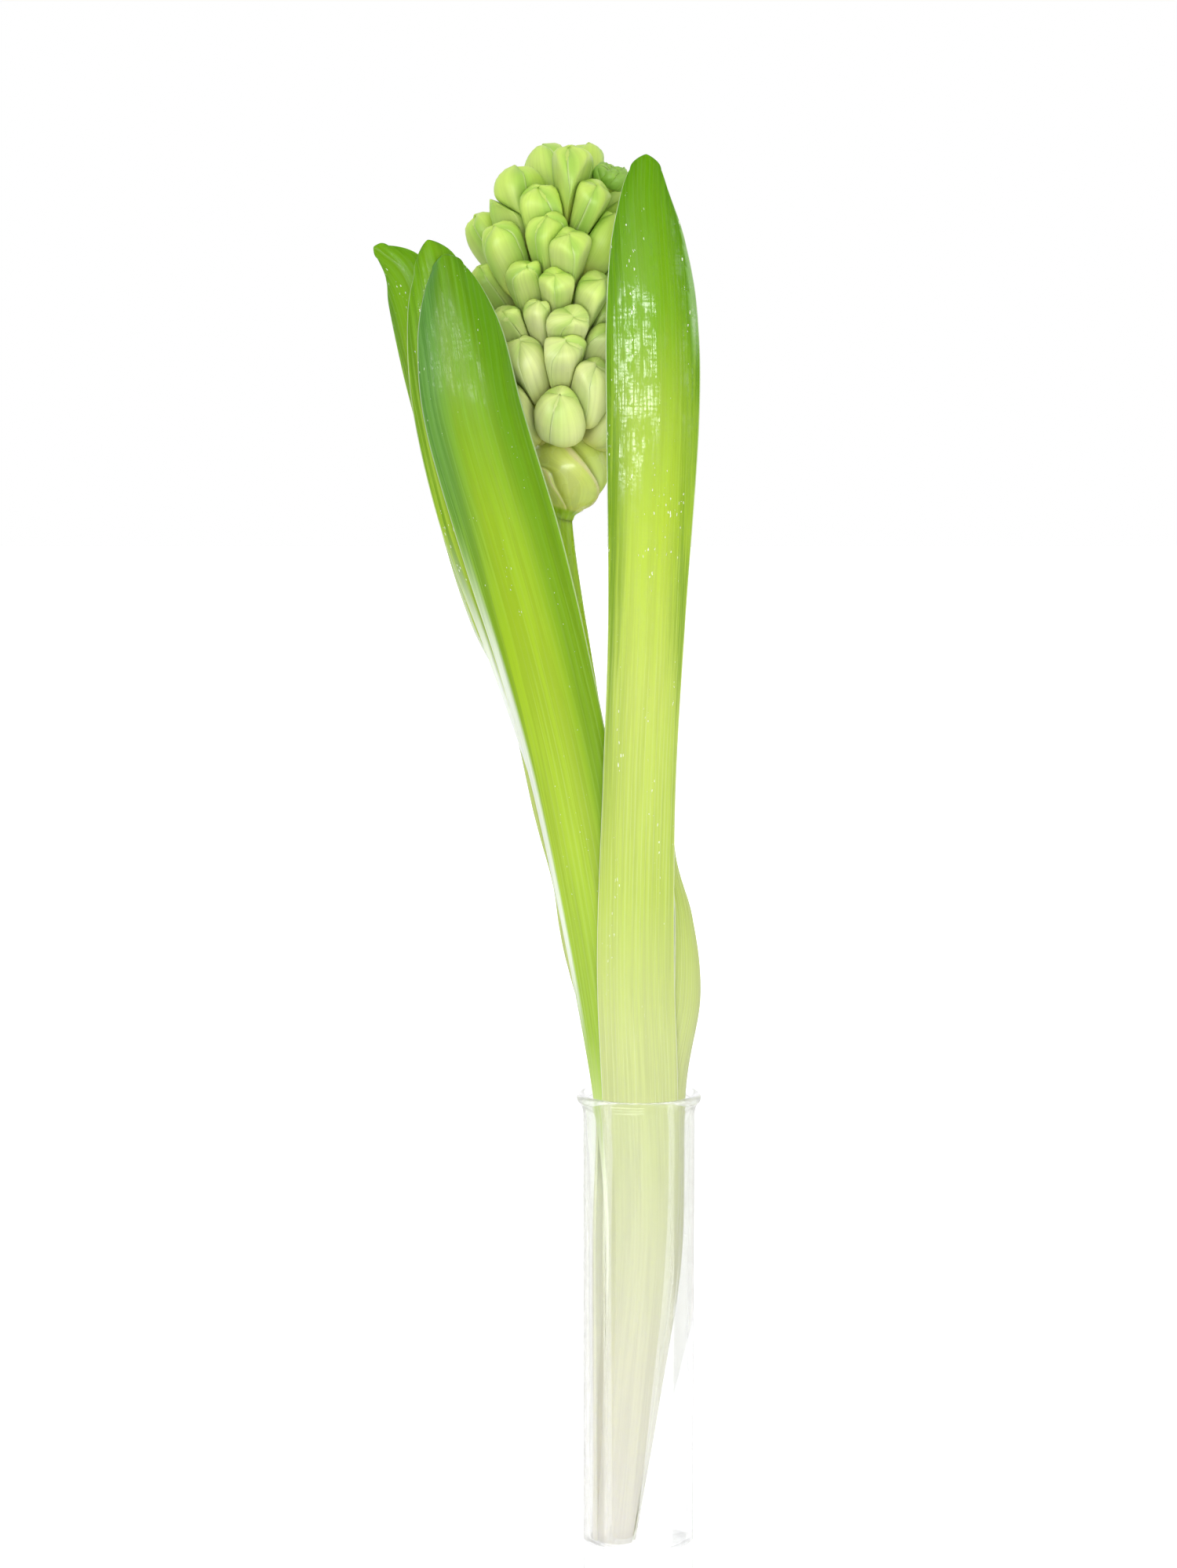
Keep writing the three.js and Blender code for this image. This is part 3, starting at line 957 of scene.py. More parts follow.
        # The wet specks are painted pale as a glint.
        colour = nodes.mix(nodes.times(beads, self.bead_glint_share), colour, srgb(*self.bead))
        ridge = nodes.math("MULTIPLY_ADD", ground.vein.outputs["Height"], self.vein_relief, lines)
        relief = nodes.math("MULTIPLY_ADD", beads, self.bead_relief, ridge)
        nodes.feed(shader, {
            "Base Color": colour,
            "Roughness": nodes.step(streak, 0.0, 1.0, self.roughness),
            "Specular IOR Level": self.gloss,
            "Coat Weight": self.coat(nodes, ground, effects, beads),
            "Coat Roughness": self.film_roughness,
            "Normal": nodes.bump(relief, *self.relief),
            **self.softness.inputs(),
        })
        # Painted glow: the blanched foot gives off light of its own pale colour, lifting the shade between
        # the leaves in the tube.
        if self.glow:
            foot = nodes.step(ground.height, *self.blanched)
            light = nodes.mix(foot, (0, 0, 0, 1), srgb(*self.run[0][1]))
            nodes.feed(shader, {"Emission Color": light, "Emission Strength": self.glow})
        return material


@dataclass(frozen=True)
class TepalFinish:
    """Waxy closed tepals: cream low on the head, greener above, ochre at the foot that is partly painted
    shade of the gaps.
    """

    name: str
    low: Colour = (210, 219, 148)
    high: Colour = (192, 220, 100)
    heights: Span = (0.306, 0.350)  # metres over which low turns to high
    cloud_scale: float = 150.0
    cloudy: Span = (0.3, 0.7)
    cloud_share: float = 0.7
    tip_along: Span = (0.55, 0.95)
    tip_share: float = 0.3
    tone_share: float = 0.45
    flank: Colour = (156, 200, 76)
    flank_across: Span = (0.2, 0.9)
    flank_share: Span = (0.6, 0.25)  # how much more the greener ones have, and what all have
    # Ochre at each bud's foot: partly its own colour, partly painted shade of the gaps between the buds.
    base: Colour = (214, 208, 100)
    base_along: Span = (0.45, 0.08)
    base_ochre_and_shade_share: float = 0.6
    # Pale margins: partly the tepals' own thin edges, partly painted light that lifts the shade in the seams
    # between tepals.
    rim: Colour = (222, 236, 164)
    rim_across: Span = (0.9, 0.98)
    rim_share: float = 0.5
    fineness: float = 1.6
    streaks: Span = (0.35, 0.65)
    shades: Span = (0.93, 1.05)
    specks: float = 0.8
    roughness: Span = (0.34, 0.5)
    speck_roughness: float = 0.05
    gloss: float = 0.3
    vein_relief: Span = (0.01, 0.06)  # at the tip and lower down
    vein_along: Span = (0.9, 0.4)
    speck_relief: float = 0.15
    relief: Span = (0.3, 0.7)  # its distance in millimetres and its strength
    softness: Softness = Softness(0.2, (1.0, 1.0, 0.4), 1.0)

    def make(self, effects: Effects) -> bpy.types.Material:
        """Builds the material.

        Args:
            effects: the shared groups.

        Returns:
            The material.
        """
        material, nodes, shader = new_material(self.name)
        ground = Ground.under(nodes, effects, self.fineness)
        across, along, tone = ground.shares
        cloud = nodes.noise(ground.place, self.cloud_scale, 3)
        level = nodes.step(ground.height, *self.heights)
        level = nodes.math("MULTIPLY_ADD", nodes.math("SUBTRACT", cloud, 0.5), self.cloud_share, level)
        level = nodes.math("MULTIPLY_ADD", nodes.step(along, *self.tip_along), self.tip_share, level)
        level = nodes.math("MULTIPLY_ADD", tone, self.tone_share, level, clamp=True)
        colour = nodes.mix(level, srgb(*self.low), srgb(*self.high))
        edge = nodes.math("ABSOLUTE", across)
        flank = nodes.math("MULTIPLY_ADD", level, *self.flank_share)
        flank = nodes.times(nodes.step(edge, *self.flank_across), flank)
        colour = nodes.mix(flank, colour, srgb(*self.flank))
        base = nodes.times(nodes.step(along, *self.base_along), self.base_ochre_and_shade_share)
        colour = nodes.mix(base, colour, srgb(*self.base))
        colour = nodes.shaded(colour, nodes.step(ground.vein.outputs["Tone"], *self.streaks, self.shades))
        # Pale margins, partly painted light over the shade of the seams.
        rim = nodes.times(nodes.step(edge, *self.rim_across), self.rim_share)
        colour = nodes.mix(rim, colour, srgb(*self.rim))
        wet = nodes.group(effects.specks, grain=ground.grain, amount=self.specks).outputs["Mask"]
        depth = nodes.step(along, *self.vein_along, self.vein_relief)
        ridge = nodes.times(ground.vein.outputs["Height"], depth)
        relief = nodes.math("MULTIPLY_ADD", wet, self.speck_relief, ridge)
        nodes.feed(shader, {
            "Base Color": colour,
            "Roughness": nodes.step(cloud, *self.cloudy, self.roughness),
            "Specular IOR Level": self.gloss,
            "Coat Weight": wet,
            "Coat Roughness": self.speck_roughness,
            "Normal": nodes.bump(relief, *self.relief),
            **self.softness.inputs(),
        })
        return material


@dataclass(frozen=True)
class StalkFinish:
    """A smooth bright stalk, whose flared foot of the head is wrapped in thin olive scales."""

    name: str = "stalk"
    stalk: Colour = (164, 200, 40)
    pale: Colour = (224, 228, 176)
    pale_to: Span = (0.120, 0.180)  # metres over which the pale foot turns green
    olive: Colour = (216, 218, 108)
    fresh: Colour = (206, 226, 128)
    tone_share: float = 0.6
    cloud_scale: float = 130.0
    cloudy: Span = (0.3, 0.7)
    cloud_share: float = 0.5
    plain_below: Span = (0.278, 0.274)  # metres over which the scales run out in olive
    # Darker olive where each scale tucks under the one before it: painted shade.
    crease: Colour = (150, 160, 44)
    crease_shade_over: Span = (0.22, 0.0)
    skin: Colour = (236, 224, 176)
    skin_over: Span = (0.86, 0.95)
    edge_share: float = 0.7
    flare_from: Span = (0.0, 0.12)
    fineness: float = 1.3
    streaks: Span = (0.35, 0.65)
    shades: Span = (0.9, 1.08)
    specks: float = 0.9
    roughness: Span = (0.22, 0.4)
    vein_relief: float = 0.3
    relief: Span = (0.2, 0.5)  # its distance in millimetres and its strength
    softness: Softness = Softness(0.6, (1.0, 0.9, 0.3), 3.0)

    def make(self, effects: Effects) -> bpy.types.Material:
        """Builds the material.

        Args:
            effects: the shared groups.

        Returns:
            The material.
        """
        material, nodes, shader = new_material(self.name)
        ground = Ground.under(nodes, effects, self.fineness)
        over, flare, tone = ground.shares
        colour = nodes.mix(nodes.step(ground.height, *self.pale_to), srgb(*self.pale), srgb(*self.stalk))
        cloud = nodes.noise(ground.place, self.cloud_scale, 3)
        clouds = nodes.times(cloud, self.cloud_share)
        blend = nodes.math("MULTIPLY_ADD", tone, self.tone_share, clouds, clamp=True)
        scale = nodes.mix(blend, srgb(*self.olive), srgb(*self.fresh))
        scale = nodes.mix(nodes.step(ground.height, *self.plain_below), scale, srgb(*self.olive))
        # Each scale gets painted shade where it tucks under, and its pale skin at its edge.
        for tint, reach in ((self.crease, self.crease_shade_over), (self.skin, self.skin_over)):
            scale = nodes.mix(nodes.times(nodes.step(over, *reach), self.edge_share), scale, srgb(*tint))
        colour = nodes.mix(nodes.step(flare, *self.flare_from), colour, scale)
        colour = nodes.shaded(colour, nodes.step(ground.vein.outputs["Tone"], *self.streaks, self.shades))
        wet = nodes.group(effects.specks, grain=ground.grain, amount=self.specks).outputs["Mask"]
        relief = nodes.math("MULTIPLY_ADD", ground.vein.outputs["Height"], self.vein_relief, wet)
        nodes.feed(shader, {
            "Base Color": colour,
            "Roughness": nodes.step(cloud, *self.cloudy, self.roughness),
            "Coat Weight": wet,
            "Normal": nodes.bump(relief, *self.relief),
            **self.softness.inputs(),
        })
        return material


@dataclass(frozen=True)
class GlassFinish:
    """Thin clear glass, very slightly rippled, that lets the lamps through."""

    name: str = "tube_glass"
    tint: tuple[float, float, float, float] = (0.985, 0.995, 0.998, 1.0)
    refraction: float = 1.5
    thinness: float = 0.35  # share of the light that goes straight through
    smear_scale: float = 120.0
    smear: Triple = (1.0, 1.0, 0.3)
    smeared: Span = (0.5, 0.8)
    roughness: Span = (0.0, 0.06)
    ripple_scale: float = 60.0
    ripple: Triple = (1.0, 1.0, 0.35)
    relief: Span = (0.05, 0.4)  # its distance in millimetres and its strength

    def make(self) -> bpy.types.Material:
        """Builds the material.

        Returns:
            The material.
        """
        material, nodes, shader = new_material(self.name)
        place = nodes.add("ShaderNodeTexCoord").outputs["Object"]
        smear = nodes.noise(nodes.stretched(place, self.smear), self.smear_scale, 3)
        ripple = nodes.noise(nodes.stretched(place, self.ripple), self.ripple_scale, 1)
        nodes.feed(shader, {
            "Base Color": self.tint,
            "Transmission Weight": 1.0,
            "IOR": self.refraction,
            "Roughness": nodes.step(smear, *self.smeared, self.roughness),
            "Normal": nodes.bump(ripple, *self.relief),
        })
        clear = nodes.add("ShaderNodeBsdfTransparent").outputs[0]
        path = nodes.add("ShaderNodeLightPath").outputs
        soft = nodes.math("MAXIMUM", path["Is Shadow Ray"], path["Is Diffuse Ray"])
        soft = nodes.math("MAXIMUM", soft, self.thinness)
        both = nodes.add("ShaderNodeMixShader", {0: soft, 1: shader.outputs[0], 2: clear})
        nodes.feed(nodes.tree.nodes["Material Output"], {"Surface": both.outputs[0]})
        return material


# Leaves -------------------------------------------------------------------------------------


class Side(Enum):
    """The half of a leaf, seen from in front of its outer face."""

    LEFT = -1
    RIGHT = 1


@dataclass(frozen=True)
class Fold:
    """A margin folded back along a crease that runs out to the edge at its upper end."""

    side: Side
    low: float  # share along the leaf where the fold is deepest
    high: float  # share along the leaf where the crease meets the margin
    depth: float  # share of the half-width that is folded at the low end
    angle: float  # degrees
    fade: float = 0.05  # share along the leaf over which it ends below
    roundness: float = 0.02  # of the crease, as a share of the half-width

    def crease(self, along: np.ndarray) -> np.ndarray:
        """The share across at which the crease runs, from the share along."""
        return 1 - self.depth * (1 - np.clip((along - self.low) / (self.high - self.low), 0, 1))

    def here(self, along: np.ndarray) -> np.ndarray:
        """1 where the leaf is folded and 0 above and below, from the share along."""
        return smooth(self.low - self.fade, self.low, along) * (along < self.high)

    def bend(self, across: np.ndarray, along: np.ndarray) -> tuple[np.ndarray, np.ndarray]:
        """What the fold adds to the section.

        Args:
            across: from -1 at the left margin to 1 at the right one.
            along: from 0 at the base to 1 at the tip.

        Returns:
            The added turn in radians, and the distance inwards in half-widths.
        """
        beyond = (across * self.side.value - self.crease(along)) / self.roundness
        slope = math.tan(math.radians(self.angle)) * self.here(along)
        turn = self.side.value * np.arctan(slope / (1 + np.exp(-beyond)))
        return turn, slope * self.roundness * np.logaddexp(0, beyond)

    def flap(self, across: np.ndarray, along: np.ndarray) -> np.ndarray:
        """1 on the folded margin and 0 elsewhere, from the same shares."""
        return self.here(along) * (across * self.side.value > self.crease(along))


@dataclass
class Leaf:
    """One strap leaf, from its cut base to its rounded tip.

    A share across runs from -1 at the left margin to 1 at the right one, and a share along from 0
    at the base to 1 at the tip.
    """

    name: str
    node: str
    stations: tuple[tuple[float, ...], ...]
    folds: tuple[Fold, ...] = ()
    keel: float = 0.0  # degrees that each half turns down along the midrib
    keel_from: float = 0.0  # share along the leaf where the keel starts to show
    keel_softness: float = 0.08
    hood: float = 0.0  # degrees that the margins curl in further at the tip
    hood_from: float = 0.8
    seed: int = 1
    columns: int = 96
    rows: int = 240
    crowd: float = 1.4  # how much the rows crowd towards the tip
    edge: float = 0.5  # thickness at the margin, in millimetres
    base: float = 1.0  # thickness along the middle at both ends
    blade: float = 1.9  # thickness along the middle halfway
    squareness: int = 12  # of the margin's section
    rib_height: float = 0.05
    rib_pitch: float = 1.5
    rib_from: Span = (0.0, 0.3)  # shares along over which the ribs come in
    wave: float = 2.0  # degrees
    wave_rates: Triple = (5.0, 9.0, 17.0)  # radians across, and along in its two parts
    back_grain: float = 40.0  # sets the grain of the inner face apart from the outer one's
    own_grain: float = 11.0  # sets one leaf's grain apart from the next one's
    tip_power: float = 1.6
    tip_root: float = 0.75
    course: Course = field(init=False)

    def __post_init__(self) -> None:
        """Lays the course through the stations."""
        self.course = Course(self.stations)

    def tip(self, along: np.ndarray) -> np.ndarray:
        """How far along the last stretch, from 0 to 1 at the tip."""
        start = 1 - 1 / self.course.cells
        return np.clip((along - start) / (1 - start), 0, 1)

    def half_width(self, along: np.ndarray) -> np.ndarray:
        """Half the width in millimetres, which rounds off over the last stretch."""
        widths = self.course.at(np.minimum(along, 1 - 1 / self.course.cells))[:, 3]
        return widths * np.maximum(1 - self.tip(along)**self.tip_power, 0) ** self.tip_root

    def turn_of(self, across: np.ndarray, along: np.ndarray, curl: np.ndarray) -> np.ndarray:
        """How far the section has turned.

        Args:
            across: the share across.
            along: the share along.
            curl: how far each half curls in there, in radians.

        Returns:
            The turn in radians.
        """
        keel = math.radians(self.keel) * smooth(self.keel_from, 1.0, along)
        curl = curl + math.radians(self.hood) * smooth(self.hood_from, 1.0, along)
        ripple, swing, beat = self.wave_rates
        wave = np.sin(ripple * across + swing * along + self.seed) * np.sin(beat * along + 2.0 * self.seed)
        return curl * across + keel * np.tanh(across / self.keel_softness) + math.radians(self.wave) * wave

    def section(self, across: np.ndarray, along: np.ndarray, steps: int = 28) -> tuple[np.ndarray, ...]:
        """The run of the section from the middle of the leaf out to a share across.

        Args:
            across: the share across.
            along: the share along.
            steps: how many short lengths the run is added up from.

        Returns:
            The distance across, the distance inwards and the turn there, in millimetres and radians.
        """
        curl = np.radians(self.course.at(along)[:, 5])
        over, inward = np.zeros_like(across), np.zeros_like(across)
        for k in range(steps):
            turn = self.turn_of(across * (k + 0.5) / steps, along, curl)
            over += np.cos(turn) * across / steps
            inward += np.sin(turn) * across / steps
        turn = self.turn_of(across, along, curl)
        for fold in self.folds:
            added, sunk = fold.bend(across, along)
            turn, inward = turn + added, inward + sunk
        half_width = self.half_width(along)
        return over * half_width, inward * half_width, turn

    def place(self, around: np.ndarray, along: np.ndarray) -> np.ndarray:
        """The surface of the leaf.

        Args:
            around: the share round the section.
            along: the share along.

        Returns:
            The points in millimetres.
        """
        angle = FULL_TURN * around
        across, side = np.cos(angle), np.sin(angle)
        over, inward, turn = self.section(across, along)
        numbers = self.course.at(along)
        heading = self.course.heading(along)
        out = outward(numbers[:, 4])
        out = unit(out - heading * dot(out, heading))
        right = np.cross(heading, out)
        middle = self.base + (self.blade - self.base) * np.sin(np.pi * along)
        thick = self.edge + (middle - self.edge) * (1 - across**2)
        ribs = np.cos(FULL_TURN * over / self.rib_pitch) * (1 - across**4) * smooth(*self.rib_from, along)
        half = (thick / 2 + self.rib_height * ribs) * np.sqrt(1 - across**self.squareness)
        half *= np.sqrt(1 - self.tip(along) ** 6) * np.sign(side)
        normal = out * np.cos(turn)[:, None] + right * np.sin(turn)[:, None]
        return numbers[:, :3] + right * over[:, None] - out * inward[:, None] + normal * half[:, None]

    def grain(self, around: np.ndarray, along: np.ndarray) -> np.ndarray:
        """Millimetres across and along the leaf, and a number of its own for each face.

        Args:
            around: the share round the section.
            along: the share along.

        Returns:
            One row for each place.
        """
        across = np.cos(FULL_TURN * around)
        face = np.where(around > 0.5, self.back_grain, 0.0) + self.seed * self.own_grain
        return np.stack([across * self.half_width(along), self.course.lengths(along), face], -1)

    def share(self, around: np.ndarray, along: np.ndarray) -> np.ndarray:
        """Shares across and along, and 1 on a folded margin.

        Args:
            around: the share round the section.
            along: the share along.

        Returns:
            One row for each place.
        """
        across = np.cos(FULL_TURN * around)
        flaps = sum((fold.flap(across, along) for fold in self.folds), np.zeros_like(along))
        return np.stack([across, along, flaps], -1)

    def build(self, finish: bpy.types.Material) -> bpy.types.Object:
        """Makes the leaf.

        Args:
            finish: its material.

        Returns:
            The piece.
        """
        mesher = Mesher()
        mesher.tube(self, self.columns, self.rows, self.crowd)
        return mesher.piece(self.name, self.node, "leaf", finish)


# The head -----------------------------------------------------------------------------------


@dataclass(frozen=True)
class Seat:
    """Where a bud sits: its middle, the way that it points, its length and its width."""

    middle: np.ndarray
    point: np.ndarray
    length: float
    width: float


@dataclass(frozen=True)
class Lap:
    """How a tepal lies over its neighbours."""

    left: float  # how far its left margin stands out, in shares of the bud's margin step
    right: float
    span: float  # half its spread round the bud, in degrees
    reach: float  # how far its hooded tip runs over the end of the bud, in millimetres


LAPS = (Lap(2.8, 2.8, 72, 0.9), Lap(0.2, -0.8, 66, 0.3), Lap(1.6, 0.2, 66, 0.3))


@dataclass
class Bud:
    """A closed bud: a lobed body, three outer tepals that overlap round it and a short pedicel."""

    seat: Seat
    walls: list[tuple[np.ndarray, np.ndarray]]  # a point on each flat side and its outward normal
    root: np.ndarray  # where the pedicel leaves the stalk
    seed: int
    columns: int = 26
    rows: int = 22
    body_faces: tuple[int, int] = (30, 16)
    pedicel_faces: tuple[int, int] = (10, 6)
    fullness: float = 1.2  # width over the seat's, before neighbours press it
    knob: float = 0.4  # how far the hooded tips stand up
    softness: float = 0.75  # how rounded the pressed sides are, in millimetres
    margin: float = 0.15  # how far one margin stands out and the other tucks in
    bulge: float = 0.42
    keel: float = 0.16
    thickness: float = 0.2
    lump: float = 0.22
    outline: Course = field(
        default_factory=lambda: Course((
            (0.24, 0.0),
            (0.6, 0.08),
            (0.92, 0.25),
            (1.0, 0.43),
            (0.95, 0.61),
            (0.8, 0.78),
            (0.52, 0.92),
            (0.0, 1.0),
        ))
    )  # the share of the half-width and the share of the length

    def __post_init__(self) -> None:
        """Draws the bud's own small differences."""
        draw = random.Random(self.seed)
        self.roll = draw.uniform(0, FULL_TURN)
        self.phase = draw.uniform(0, FULL_TURN)
        self.nod = draw.uniform(0.6, 2.2)
        self.narrowing = draw.uniform(0.0, 0.05)  # how much of the body shows between the tips
        self.tones = [draw.uniform(-0.5, 0.5) for _ in LAPS]

    def spokes(self, turn: np.ndarray) -> np.ndarray:
        """The directions square to the bud's own.

        Args:
            turn: round the bud, in radians.

        Returns:
            One unit vector for each turn.
        """
        point = self.seat.point
        up = np.array([0.0, 0.0, 1.0])
        first = unit(up - point * dot(up, point))
        second = np.cross(point, first)
        return first * np.cos(turn)[:, None] + second * np.sin(turn)[:, None]

    def pressed(self, points: np.ndarray) -> np.ndarray:
        """Points eased back behind the flat sides, where neighbours press.

        Args:
            points: points on the free bud.

        Returns:
            The points in their places.
        """
        for wall, normal in self.walls:
            reach = dot(wall - self.seat.middle, normal)
            out = dot(points - self.seat.middle, normal)
            eased = -self.softness * np.logaddexp(-out / self.softness, -reach / self.softness)
            points = points + normal * (eased - out)
        return points

    def skin(
        self,
        turn: np.ndarray,
        along: np.ndarray,
        size: float,
        lift: np.ndarray,
        sink: np.ndarray | float = 0.0,
        reach: float = 0.02,
    ) -> np.ndarray:
        """Points on the bud.

        Args:
            turn: round the bud, in radians.
            along: from 0 at the foot to 1 at the tip.
            size: share of the full width.
            lift: distance off the outline, in millimetres.
            sink: distance back towards the foot, in millimetres.
            reach: how far to each side the outline's slope is read.

        Returns:
            The points, with neighbours pressing.
        """
        seat = self.seat
        radius, height = self.outline.at(along).T
        slope = self.outline.at(np.minimum(along + reach, 1)) - self.outline.at(np.maximum(along - reach, 0))
        off = unit(np.stack([slope[:, 1] * seat.length, -slope[:, 0] * seat.width / 2], -1))
        lift = lift + self.lump * np.sin(2 * turn + self.phase) * np.sin(5 * along + self.phase)
        spread = radius * size * self.fullness * seat.width / 2 + lift * off[:, 0]
        level = (height - 0.5) * seat.length + lift * off[:, 1] - sink
        nod = self.spokes(np.full_like(turn, self.phase)) * (self.nod * height**2)[:, None]
        points = seat.middle + self.spokes(turn) * spread[:, None] + seat.point * level[:, None]
        return self.pressed(points + nod)

    def wrap(self, mesher: Mesher) -> None:
        """Adds the body and its three outer tepals.

        Args:
            mesher: the mesh to add them to.
        """
        mesher.tube(BudBody(self), *self.body_faces)
        for k, (lap, tone) in enumerate(zip(LAPS, self.tones)):
            tepal = Tepal(self, self.roll + k * FULL_TURN / len(LAPS), tone, lap)
            mesher.tube(tepal, self.columns, self.rows)

    def build(self, name: str, node: str, finish: bpy.types.Material) -> bpy.types.Object:
        """Makes the bud.

        Args:
            name: the piece's name.
            node: the node that it stands for.
            finish: its material.

        Returns:
            The piece.
        """
        mesher = Mesher()
        self.wrap(mesher)
        mesher.tube(Pedicel(self), *self.pedicel_faces)
        return mesher.piece(name, node, "floret", finish)


@dataclass(frozen=True)
class BudBody:
    """The lobed body that a bud's inner tepals make, as a surface."""

    bud: Bud
    size: float = 0.97  # share of the bud's width
    inset: float = 0.25  # millimetres
    lobes: int = 3
    lobe_from: Span = (0.0, 0.3)
    tone: float = 0.2

    def place(self, around: np.ndarray, along: np.ndarray) -> np.ndarray:
        """The surface of the body.

        Args:
            around: the share round it.
            along: the share along it.

        Returns:
            The points in millimetres.
        """
        turn = FULL_TURN * around
        swell = 0.5 - 0.5 * np.cos(self.lobes * (turn - self.bud.roll))
        lift = self.bud.bulge * swell * smooth(*self.lobe_from, along) - self.inset
        return self.bud.skin(turn, along, self.size, lift)

    def grain(self, around: np.ndarray, along: np.ndarray) -> np.ndarray:
        """Millimetres round and along, and the bud's own number."""
        seat = self.bud.seat
        strip = np.full_like(along, self.bud.seed * 7.0)
        return np.stack([around * 3 * seat.width, along * seat.length, strip], -1)

    def share(self, around: np.ndarray, along: np.ndarray) -> np.ndarray:
        """No share across, the share along and the body's tone."""
        return np.stack([np.zeros_like(around), along, np.full_like(along, self.tone)], -1)


@dataclass(frozen=True)
class Tepal:
    """One outer tepal of a bud, as a surface. Each span gives shares along it."""

    bud: Bud
    turn: float  # where its middle lies round the bud, in radians
    tone: float  # how much greener it is than its neighbours
    lap: Lap
    swell: Span = (0.0, 0.25)
    settle: Span = (0.85, 1.0)
    settle_share: float = 0.6
    keel_width: float = 0.16
    margin_from: Span = (0.05, 0.3)
    knob_at: float = 0.9
    knob_length: float = 0.07
    knob_width: float = 0.4
    middle_thickness: float = 1.15  # in shares of the bud's own
    squareness: int = 12  # of the margin's section
    tip_from: Span = (0.6, 0.97)
    end: float = 0.985
    slant: float = 0.4  # how far the margins end below the middle, in millimetres
    hood_from: Span = (0.8, 1.0)

    def place(self, around: np.ndarray, along: np.ndarray) -> np.ndarray:
        """The surface of the tepal.

        Args:
            around: the share round its section.
            along: the share along it.

        Returns:
            The points in millimetres.
        """
        bud, lap = self.bud, self.lap
        angle = FULL_TURN * around
        across, side = np.cos(angle), np.sin(angle)
        body = smooth(*self.swell, along) * (1 - self.settle_share * smooth(*self.settle, along))
        lift = (bud.bulge * (1 - across**2) + bud.keel * np.exp(-((across / self.keel_width) ** 2))) * body
        stand = lap.left + (lap.right - lap.left) * (across + 1) / 2
        lift += bud.margin * stand * smooth(*self.margin_from, along)
        near_knob = ((along - self.knob_at) / self.knob_length) ** 2 + (across / self.knob_width) ** 2
        lift += bud.knob * np.exp(-near_knob)
        half = bud.thickness * (self.middle_thickness - across**2) * np.sqrt(1 - across**self.squareness)
        lift += half * np.sign(side)
        tip = smooth(*self.tip_from, along)
        turn = self.turn + math.radians(lap.span) * across * (1 - bud.narrowing * tip)
        points = bud.skin(turn, along * self.end, 1.0, lift, self.slant * across**2 * tip)
        over = lap.reach * smooth(*self.hood_from, along)
        return points - bud.spokes(np.full_like(along, self.turn)) * over[:, None]

    def grain(self, around: np.ndarray, along: np.ndarray) -> np.ndarray:
        """Millimetres across and along, and the tepal's own number."""
        seat = self.bud.seat
        strip = np.full_like(along, self.bud.seed * 7 + self.turn * 3)
        return np.stack([np.cos(FULL_TURN * around) * seat.width / 2, along * seat.length, strip], -1)

    def share(self, around: np.ndarray, along: np.ndarray) -> np.ndarray:
        """Shares across and along, and the tepal's tone."""
        return np.stack([np.cos(FULL_TURN * around), along, np.full_like(along, self.tone)], -1)


@dataclass(frozen=True)
class Pedicel:
    """The short stalk that carries a bud, as a surface. Its sizes are in millimetres."""

    bud: Bud
    radius: float = 1.0
    swell: float = 0.5
    sunk: float = 1.0  # how far it runs up into the bud
    sag: float = 0.8

    def course(self) -> Course:
        """The way from the stalk to the foot of the bud.

        Returns:
            The course.
        """
        seat = self.bud.seat
        foot = seat.middle - seat.point * (seat.length / 2 - self.sunk)
        bend = (self.bud.root + foot) / 2 - np.array([0, 0, self.sag])
        return Course((self.bud.root, bend, foot))

    def place(self, around: np.ndarray, along: np.ndarray) -> np.ndarray:
        """The surface of the pedicel.

        Args:
            around: the share round it.
            along: the share along it.

        Returns:
            The points in millimetres.
        """
        course = self.course()
        heading = course.heading(along)
        side = unit(np.cross(heading, np.array([0.0, 0.0, 1.0]) + 1e-3))
        other = np.cross(heading, side)
        angle = FULL_TURN * around
        spoke = side * np.cos(angle)[:, None] + other * np.sin(angle)[:, None]
        return course.at(along) + spoke * (self.radius + self.swell * along**2)[:, None]

    def grain(self, around: np.ndarray, along: np.ndarray) -> np.ndarray:
        """The shares themselves, since its veins are too small to show."""
        return np.stack([around, along, along], -1)

    def share(self, around: np.ndarray, along: np.ndarray) -> np.ndarray:
        """The first tenth of a tepal's share along, for its ochre foot."""
        return np.stack([np.zeros_like(around), along * 0.1, np.zeros_like(along)], -1)


